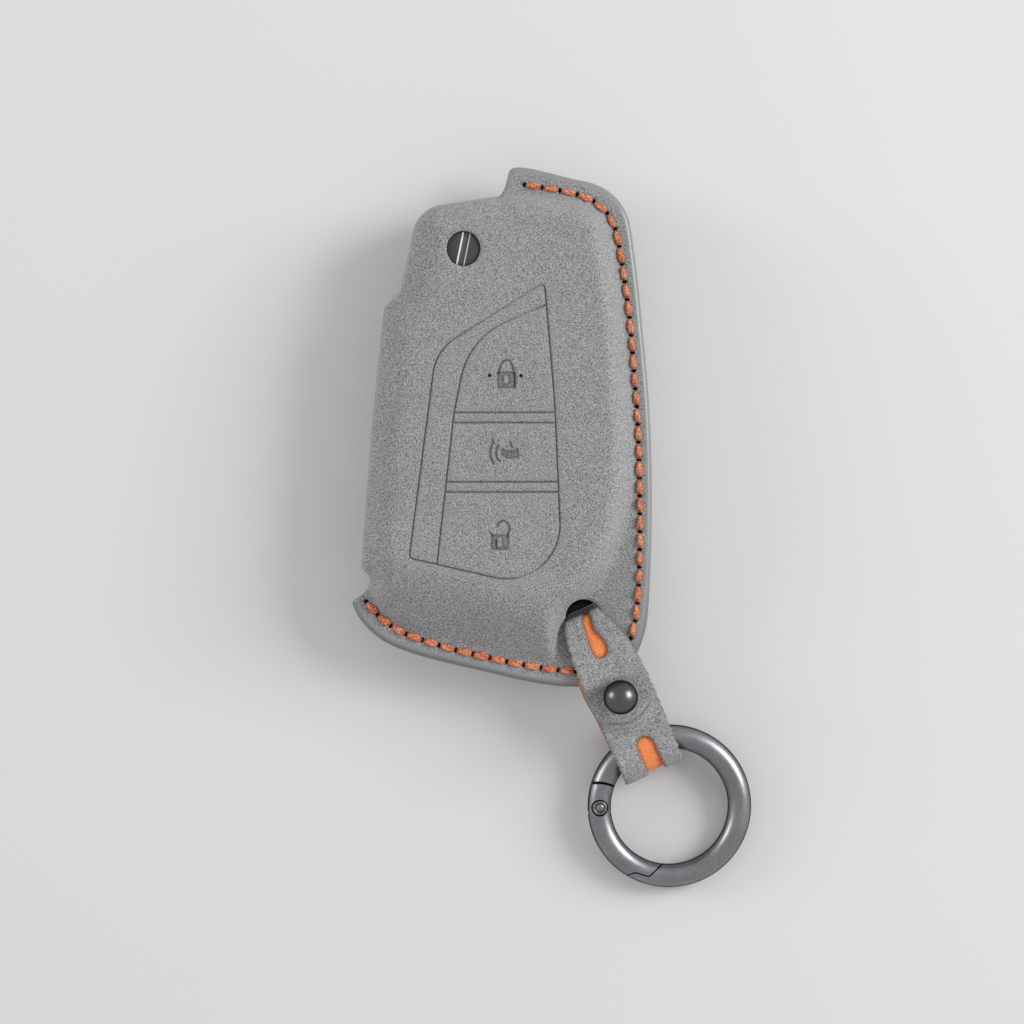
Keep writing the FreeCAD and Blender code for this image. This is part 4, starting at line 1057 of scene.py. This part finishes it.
def strip_outline(left_extra, right_extra, frayed):
    """The edge of a ply on the flat strip, with the small unevenness of a cut edge."""
    marks = np.linspace(0, path_run[-1], round(path_run[-1] / 0.3) + 1)
    along = np.interp(marks, path_run, path[:, 0])
    under = UNDER_NARROWER * ease(marks, path_run[fold_end], path_run[fold_end] + 3)
    sides = []
    for plan, extra in ((PLAN_LEFT, left_extra(along, marks)), (PLAN_RIGHT, right_extra)):
        width = np.interp(along, *softened(list(zip(PLAN_AT, plan))).T) + extra
        sides.append(width - under + frayed * shake.uniform(-1, 1, len(marks)))
    lower = np.column_stack([marks, -sides[0]])
    upper = np.column_stack([marks, sides[1]])
    first = evenly(np.array([upper[0], lower[0]]), 0.4)[1:-1]
    last = evenly(np.array([lower[-1], upper[-1]]), 0.4)[1:-1]
    return np.vstack([lower, last, upper[::-1], first])


def no_extra(along, marks):
    return np.zeros(len(along))


def showing_edge(along, marks):
    """The lining stands out a little on the left, from the flare to the stud's far side."""
    front = (marks > path_run[top_start]) & (marks < path_run[fold_end])
    out = 0.55 * ease(along, 9, 11) * (1 - 0.35 * ease(along, 13, 17)) * (1 - ease(along, 23, 25))
    return np.where(front, out, 0) - LINING_INSET


drop = softened(DROP)[:-1]
drop_window = evenly(np.column_stack([run_at(drop[:, 0]), drop[:, 1]]), 0.25, True)
window_ends = [(run_at(FOLD_WINDOW_AT), 90), (path_run[fold_end] + 3.0, -90)]
fold_window = np.vstack([arc((run, FOLD_WINDOW_ASIDE), FOLD_WINDOW_RADIUS, turn, turn + 180, 14)
                         for run, turn in window_ends])
fold_window = evenly(fold_window, 0.25, True)
print("windows of %d and %d points" % (len(drop_window), len(fold_window)))

# %% Plies of the strap
WAVES = (0.5, 0.8, 1.1, 1.7, 2.3, 3.1)
WAVE_HEIGHT = 0.012
PLY_GAP = 0.02


def ply(name, node, loops, low, high, material, edge_shade):
    """One ply between two offsets from the path; the one without windows is the lining."""
    spread = honeycomb(loops[0].min(0), loops[0].max(0), 0.38)
    for loop in loops:
        spread = spread[reach(spread, loop, True) > 0.24]
    spread = np.vstack([spread, rim_rows(loops[0], (0.08, 0.2))])
    swell = np.random.default_rng(11).uniform(0, 6.28, len(WAVES))

    def lift(points, level, sign):
        wave = sum(np.sin(points @ (math.cos(a) * k, math.sin(a) * k) + 2 * a) for k, a in zip(WAVES, swell))
        return level - sign * rolled_off(nearest(points, loops, True), 0.4, 0.2) + WAVE_HEIGHT * wave

    made, upper_flat, lower_flat = leather_sheet(
        name, loops, spread, spread, lambda p: on_strap(p, lift(p, high, 1)),
        lambda p: on_strap(p, lift(p, low, -1)), material)
    both = np.vstack([upper_flat, lower_flat])
    along = both[:, 0]
    # Painted shade along the cut edges of the ply.
    dark = edge_shade * (1 - ease(nearest(both, loops, True), 0.0, 0.3))
    if len(loops) == 1:
        # On the lining, painted shade round the edges of the windows above it.
        dark = np.maximum(dark, 0.8 * bell(nearest(both, (drop_window, fold_window), True), 0.25))
    else:
        # On the face, painted shade in the crease below the stud, and nearly black where the strap goes down
        # into the hole.
        in_hole = (1 - ease(along, run_at(0.3), run_at(0.9))) * (along > rise_run)
        dark = np.maximum(dark, 0.6 * bell(bent_run(both) - run_at(CREASE_AT), 0.22))
        dark = np.maximum(dark, 1.4 * in_hole)
    for key, values in (("rubbed", 0 * dark), ("ruffled", 0 * dark), ("pressed_and_shade", dark)):
        mark(made, key, values)
    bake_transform(made)
    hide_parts(node)
    print(name, len(made.data.polygons), "faces")


face_loops = [strip_outline(no_extra, 0, 0.16), drop_window, fold_window]
ply("strap_face", "strap_outer", face_loops, PLY_GAP, FACE_PLY, strap_suede, 0.6)
lining_loops = [strip_outline(showing_edge, -LINING_INSET, 0.04)]
ply("strap_inside", "strap_lining", lining_loops, -LINING, -PLY_GAP, orange_suede, 1.1)

# %% [markdown]
# Metal next. The ball stud is turned: a profile of radius and height is spun round an axis. The
# finish is black nickel, dark and polished, with a fine grain in its roughness. Numbers on the
# mesh darken what faces away from the light.


# %% Metal finishes
def metal(name, level, rough, scratch):
    """A plated metal with a fine grain and slow clouds in its colour and its polish."""
    material, spot, shader = finish(name, Metallic=1.0, Specular_Tint=(0.25, 0.25, 0.25, 1))
    grain = spot.noise(1800, 4, 0.7)
    tone = grain * 0.5 + spot.noise(160, 3) * 0.5
    low, high = [linear(*[min(255, part * share) for part in level]) for share in (0.9, 1.08)]
    # Painted shade: the shade and cut numbers on the mesh pull the colour toward near black.
    shade = spot.stored("shade").sum("MAXIMUM", spot.stored("cut"))
    colour = shade.mix(tone.between(0.25, 0.75).mix(low, high), linear(8))
    feed(shader, Base_Color=colour, Roughness=rough + (tone - 0.5) * rough * 0.7,
         Normal=grain.bump(scratch, 0.02))
    return material


gunmetal = metal("gunmetal", (152, 152, 154), 0.38, 0.12)
black_nickel = metal("black_nickel", (108, 108, 110), 0.31, 0.05)
print("metals:", gunmetal.name, black_nickel.name)

# %% Turned pieces
BALL_CENTRE = 13.05
BALL_RADIUS = 2.9
NECK_RADIUS = 1.3
NECK_LOW = 6.7
NECK_BREAK = 0.05


def turned(name, profile, material, spot, segments=64, sharp=35):
    """A closed shape spun from a profile of radius and height that starts and ends on the axis."""
    points, rings = [], []
    for radius, height in profile:
        if radius < 1e-6:
            rings.append([len(points)] * segments)
            points.append((spot[0], spot[1], height))
        else:
            rings.append(list(range(len(points), len(points) + segments)))
            for k in range(segments):
                turn = 2 * math.pi * k / segments
                points.append((spot[0] + radius * math.cos(turn), spot[1] + radius * math.sin(turn), height))
    faces = []
    for low, high in zip(rings, rings[1:]):
        for k in range(segments):
            face = [low[k], low[(k + 1) % segments], high[(k + 1) % segments], high[k]]
            faces.append([v for i, v in enumerate(face) if v != face[i - 1]])
    return piece(name, points, faces, material, sharp)


def on_ball(angle):
    """Radius and height on the ball, by the angle from its lowest point."""
    turn = math.radians(angle)
    return BALL_RADIUS * math.sin(turn) if angle < 180 else 0, BALL_CENTRE - BALL_RADIUS * math.cos(turn)


stud_spot = STRAP_SPOT + STUD_AT * STRAP_WAY
waist = math.degrees(math.asin(NECK_RADIUS / BALL_RADIUS))
ball_profile = [(0, NECK_LOW), (NECK_RADIUS - NECK_BREAK, NECK_LOW), (NECK_RADIUS, NECK_LOW + NECK_BREAK),
                (NECK_RADIUS, on_ball(waist)[1])]
ball_profile += [on_ball(angle) for angle in np.linspace(waist + 4, 180, 40)]
ball = turned("ball_stud", ball_profile, black_nickel, stud_spot)
up = np.array([v.co.z / MM - BALL_CENTRE for v in ball.data.vertices]) / BALL_RADIUS
# Painted shade: the ball is painted darker toward its lower half.
mark(ball, "shade", 0.55 * (1 - ease(up, 0, 0.9)))
dress(ball, "strap", "stud_ball")

# %% [markdown]
# The ring is bent wire with a gate: a piece of the same wire that swings inward on a rivet. Both
# are cut from one full ring with Boolean modifiers, as the real gate is sawn from the wire: the
# ring loses the gate's room but keeps a tongue for the rivet, and the gate keeps its outline.

# %% Ring: wire and tools
RING_RADIUS = 12.0
WIRE_RADIUS = 2.0
SLAB_WIDTH = 12.0
RING_CENTRE = Vector((28.0663, -64.6681, 3.075))
RING_TURN = math.radians(24.3)
FOLD_HEIGHT = 4.15
GATE_GAP = 0.24
GATE_END = 4.1
RIVET_ANGLE = math.radians(155.7)
GATE = [(16.0, 155.7), (20.0, 183.5), (14.6, 211.3), (12.5, 217.5), (12.25, 228.5), (9.4, 240.5),
        (3.0, 183.5), (8.0, 155.7)]
lean = math.asin((FOLD_HEIGHT - WIRE_RADIUS) / (2 * RING_RADIUS))
ring_place = Matrix.Translation(RING_CENTRE) @ Matrix.Rotation(RING_TURN, 4, "Z")
ring_place = ring_place @ Matrix.Rotation(lean, 4, "X")
rivet_spot = RING_RADIUS * np.array((math.cos(RIVET_ANGLE), math.sin(RIVET_ANGLE)))
gate_corners = np.array([(r * math.cos(math.radians(a)), r * math.sin(math.radians(a))) for r, a in GATE])


def wire_ring(name, around=48, steps=192):
    points = []
    for i in range(steps):
        for j in range(around):
            a, b = 2 * math.pi * i / steps, 2 * math.pi * j / around
            out = RING_RADIUS + WIRE_RADIUS * math.cos(b)
            points.append((out * math.cos(a), out * math.sin(a), WIRE_RADIUS * math.sin(b)))
    return piece(name, points, grid(steps, around, True), gunmetal)


def block(name, outline, low, high):
    """An upright block on an outline that turns to the left."""
    count = len(outline)
    points = [(x, y, level) for level in (low, high) for x, y in outline]
    faces = [tuple(range(count))[::-1], tuple(range(count, 2 * count))]
    faces += [(i, (i + 1) % count, count + (i + 1) % count, count + i) for i in range(count)]
    return piece(name, points, faces, gunmetal)


def round_block(name, radius, low, high):
    return block(name, circle(rivet_spot, radius), low, high)


def slab(name, length, height):
    """A slab from the rivet toward the fixed end of the ring."""
    way = np.array((math.sin(RIVET_ANGLE), -math.cos(RIVET_ANGLE)))
    side = np.array((-way[1], way[0])) * SLAB_WIDTH / 2
    near, far = rivet_spot, way * length
    return block(name, [near - side, near - side + far, near + side + far, near + side],
                 -height / 2, height / 2)


def widened(outline, margin):
    """A left-turning outline with every side moved outward."""
    moved = []
    for i in range(len(outline)):
        sides = []
        for a, b in ((outline[i - 1], outline[i]), (outline[i], outline[(i + 1) % len(outline)])):
            way = (b - a) / np.hypot(*(b - a))
            sides.append((np.array((way[1], -way[0])), a))
        normals = np.array([side[0] for side in sides])
        moved.append(np.linalg.solve(normals, [n @ a + margin for n, a in sides]))
    return np.array(moved)


def carved(base, *steps):
    """Boolean cuts, joins and overlaps in turn; the tools are used up."""
    for operation, tool in steps:
        work = base.modifiers.new(tool.name, "BOOLEAN")
        work.operation = operation
        work.solver = "EXACT"
        work.object = tool
        settled(base)
        bpy.data.objects.remove(tool)
    return base


def break_edges(made, width, segments=1):
    """A narrow bevel along the sharp edges, which makes them catch the light."""
    work = made.modifiers.new("edge_break", "BEVEL")
    work.width = width * MM
    work.segments = segments
    work.limit_method = "ANGLE"
    work.angle_limit = math.radians(50)
    settled(made)


print("gate corners:", gate_corners.round(1).tolist())

# %% Ring and gate
THROUGH = 5
END_THROUGH = 4.9  # a little less, so that no two faces lie in one plane
TONGUE = 1.5
TONGUE_SLOT = 1.7
RIVET_PROFILE = [(0, -2.03), (0.95, -2.03), (1.15, -1.96), (1.25, -1.8), (1.25, -1.6), (0.85, -1.6),
                 (0.85, 1.6), (1.25, 1.6), (1.25, 1.84), (1.18, 1.95), (1.08, 2.0), (0.84, 1.98),
                 (0.76, 1.84), (0.68, 1.82), (0.6, 1.9), (0.35, 1.97), (0, 2.0)]
if turning(gate_corners) < 0:
    gate_corners = gate_corners[::-1]
room = carved(block("gate_room", widened(gate_corners, GATE_GAP), -THROUGH, THROUGH),
              ("UNION", round_block("gate_room_end", GATE_END + 0.45, -END_THROUGH, END_THROUGH)),
              ("DIFFERENCE", slab("tongue_slab", GATE_END + 1.2, TONGUE)),
              ("DIFFERENCE", round_block("tongue_eye", WIRE_RADIUS + 0.1, -TONGUE / 2, TONGUE / 2)))
ring = carved(wire_ring("ring_wire"), ("DIFFERENCE", room),
              ("DIFFERENCE", round_block("tongue_hole", 0.87, -THROUGH, THROUGH)))
zone = carved(block("gate_zone", gate_corners, -THROUGH, THROUGH),
              ("UNION", round_block("gate_zone_end", GATE_END, -END_THROUGH, END_THROUGH)))
slot_eye = round_block("gate_slot_eye", WIRE_RADIUS + 0.3, -TONGUE_SLOT / 2, TONGUE_SLOT / 2)
gate = carved(wire_ring("gate_wire"), ("INTERSECT", zone),
              ("DIFFERENCE", slab("gate_slot", GATE_END + 2, TONGUE_SLOT)),
              ("DIFFERENCE", slot_eye),
              ("DIFFERENCE", round_block("gate_hole", 0.9, -THROUGH, THROUGH)),
              ("DIFFERENCE", round_block("seat_top", 1.45, 1.1, THROUGH)),
              ("DIFFERENCE", round_block("seat_low", 1.42, -THROUGH, -1.5)))
rivet = turned("gate_pin", RIVET_PROFILE, gunmetal, rivet_spot, 40)


def ring_shade(made):
    """Painted shade: darker on the flanks of the wire and round the rivet's seat and rim, and dark on the
    faces where it was cut.
    """
    points = np.array([v.co for v in made.data.vertices]) / MM
    middles = np.array([f.center for f in made.data.polygons]) / MM
    axis_off = gap(points[:, :2], rivet_spot)
    if made is rivet:
        flank = np.maximum(0.95 * bell(axis_off - 0.75, 0.13), 0.9 * ease(axis_off, 1.1, 1.24))
    else:
        flank = 0.75 * (1 - ease(np.abs(points[:, 2]) / WIRE_RADIUS, 0.05, 0.75))
    under = WIRE_RADIUS - np.hypot(np.hypot(*middles[:, :2].T) - RING_RADIUS, middles[:, 2])
    mark(made, "shade", flank)
    mark(made, "cut", 0.92 * ease(under, 0.1, 0.2) * (made is not rivet), "FACE")


for made, body, node in ((ring, "ring", "ring_body"), (gate, "gate", "ring_gate"),
                         (rivet, "ring", "gate_rivet")):
    break_edges(made, 0.09)
    ring_shade(made)
    for move in (Matrix.Scale(1 / MM, 4), ring_place, Matrix.Scale(MM, 4)):
        made.data.transform(move)
    smoothed(made, 32)
    dress(made, body, node)

# %% [markdown]
# The release button is a dark disc with a coin slot. The slot's two upper edges get a painted
# highlight, stronger on the left edge. The disc is turned, the slot is cut, and a Bevel modifier
# breaks the edges, which is what makes them catch the light. The painted highlight along the edges
# follows the distance from the slot's middle.

# %% Release finish
SLOT_HALF = 0.55
SLOT_TURN = math.radians(-11.7)
SLOT_LENGTH = 10
SLOT_FLOOR = 15.3
release_dark, spot, shader = finish("release_dark", Specular_IOR_Level=0.5)
x, y, z = [spot.node("ShaderNodeSeparateXYZ", {}, {0: spot}, i) for i in range(3)]
aside = (x - PIVOT[0] * MM) * math.cos(SLOT_TURN) + (y - PIVOT[1] * MM) * math.sin(SLOT_TURN)
off_edge = (aside.sum("ABSOLUTE") - (SLOT_HALF + 0.03) * MM).sum("ABSOLUTE")
# Painted highlight: the slot's edges are painted nearly white, more on the left edge than the right.
left_more = 0.62 + 0.38 * (1 - aside.between(-0.3 * MM, 0.3 * MM))
painted_glint = (1 - off_edge.between(0.06 * MM, 0.16 * MM)) * z.between(15.0 * MM, 15.4 * MM) * left_more
floor_band = 1 - aside.sum("ABSOLUTE").between(0.48 * MM, 0.56 * MM)
speck = spot.noise(2600, 3)
base_tone = (speck * 0.6 + floor_band * 0.5).between(0.1, 1.1).mix(linear(62), linear(100))
feed(shader, Base_Color=painted_glint.mix(base_tone, linear(255)), Metallic=painted_glint * 0.1,
     Roughness=0.42 + speck * 0.12 - painted_glint * 0.1)
print("release finish:", release_dark.name)

# %% Release button
RELEASE_PROFILE = [(0, 4.9), (1.8, 4.9), (1.8, 13.2), (2.9, 13.2), (2.9, 15.45), (2.86, 15.6),
                   (2.74, 15.7), (0, 15.7)]
slot_across = np.array((math.cos(SLOT_TURN), math.sin(SLOT_TURN))) * SLOT_HALF
slot_along = np.array((-math.sin(SLOT_TURN), math.cos(SLOT_TURN))) * SLOT_LENGTH / 2
slot_corners = [PIVOT + slot_across * a + slot_along * b for a, b in ((-1, -1), (1, -1), (1, 1), (-1, 1))]
head = carved(turned("release_head", RELEASE_PROFILE, release_dark, PIVOT),
              ("DIFFERENCE", block("coin_slot", slot_corners, SLOT_FLOOR, 17)))
break_edges(head, 0.07, 2)
smoothed(head, 40)
dress(head, "release", "release_button")

# %% [markdown]
# What is left is inside the cover: housing, buttons, board, cell, blade and springs. Their solids
# are right as they are, so they stay and only get finishes, each with its own fine texture.


# %% Finishes inside
def moulded(name, low, high, scale, rough, relief, **sockets):
    """A moulded or milled surface: two tones and a fine bump from one noise."""
    material, spot, shader = finish(name, **sockets)
    grain = spot.noise(scale, 4, 0.65)
    tone = grain * 0.6 + spot.noise(scale / 12, 2) * 0.4
    feed(shader, Base_Color=tone.between(0.3, 0.7).mix(linear(*low), linear(*high)),
         Roughness=rough + (tone - 0.5) * 0.2, Normal=grain.bump(0.35, relief))
    return material


def milled(name, low, high, scale, rough):
    return moulded(name, low, high, scale, rough, 0.01, Metallic=1.0)


INSIDE = {
    "key_front_shell": moulded("housing_plastic", (24, 24, 26), (38, 38, 40), 2400, 0.55, 0.03),
    "lock_button": moulded("button_rubber", (40, 40, 42), (58, 58, 60), 3200, 0.75, 0.04),
    "circuit_board": moulded("board_laminate", (22, 74, 44), (34, 104, 62), 900, 0.5, 0.02),
    "tact_switches": milled("switch_metal", (176, 178, 180), (206, 207, 208), 1500, 0.35),
    "coin_cell": milled("cell_steel", (186, 187, 189), (214, 214, 214), 1200, 0.3),
    "key_blade": milled("blade_steel", (168, 169, 171), (206, 206, 207), 1400, 0.27),
    "blade_hub": milled("hub_metal", (96, 97, 99), (122, 123, 125), 1300, 0.38),
    "flip_spring": milled("spring_steel", (132, 133, 135), (166, 166, 168), 1500, 0.3),
    "stud_screw": black_nickel,
}
SAME = {"key_back_shell": "key_front_shell", "horn_button": "lock_button", "unlock_button": "lock_button",
        "blade_pin": "blade_hub", "gate_spring": "flip_spring"}
for node in [*INSIDE, *SAME]:
    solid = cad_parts[node]
    solid.data.materials.clear()
    solid.data.materials.append(INSIDE[SAME.get(node, node)])
print("finishes on solids:", len(INSIDE) + len(SAME))
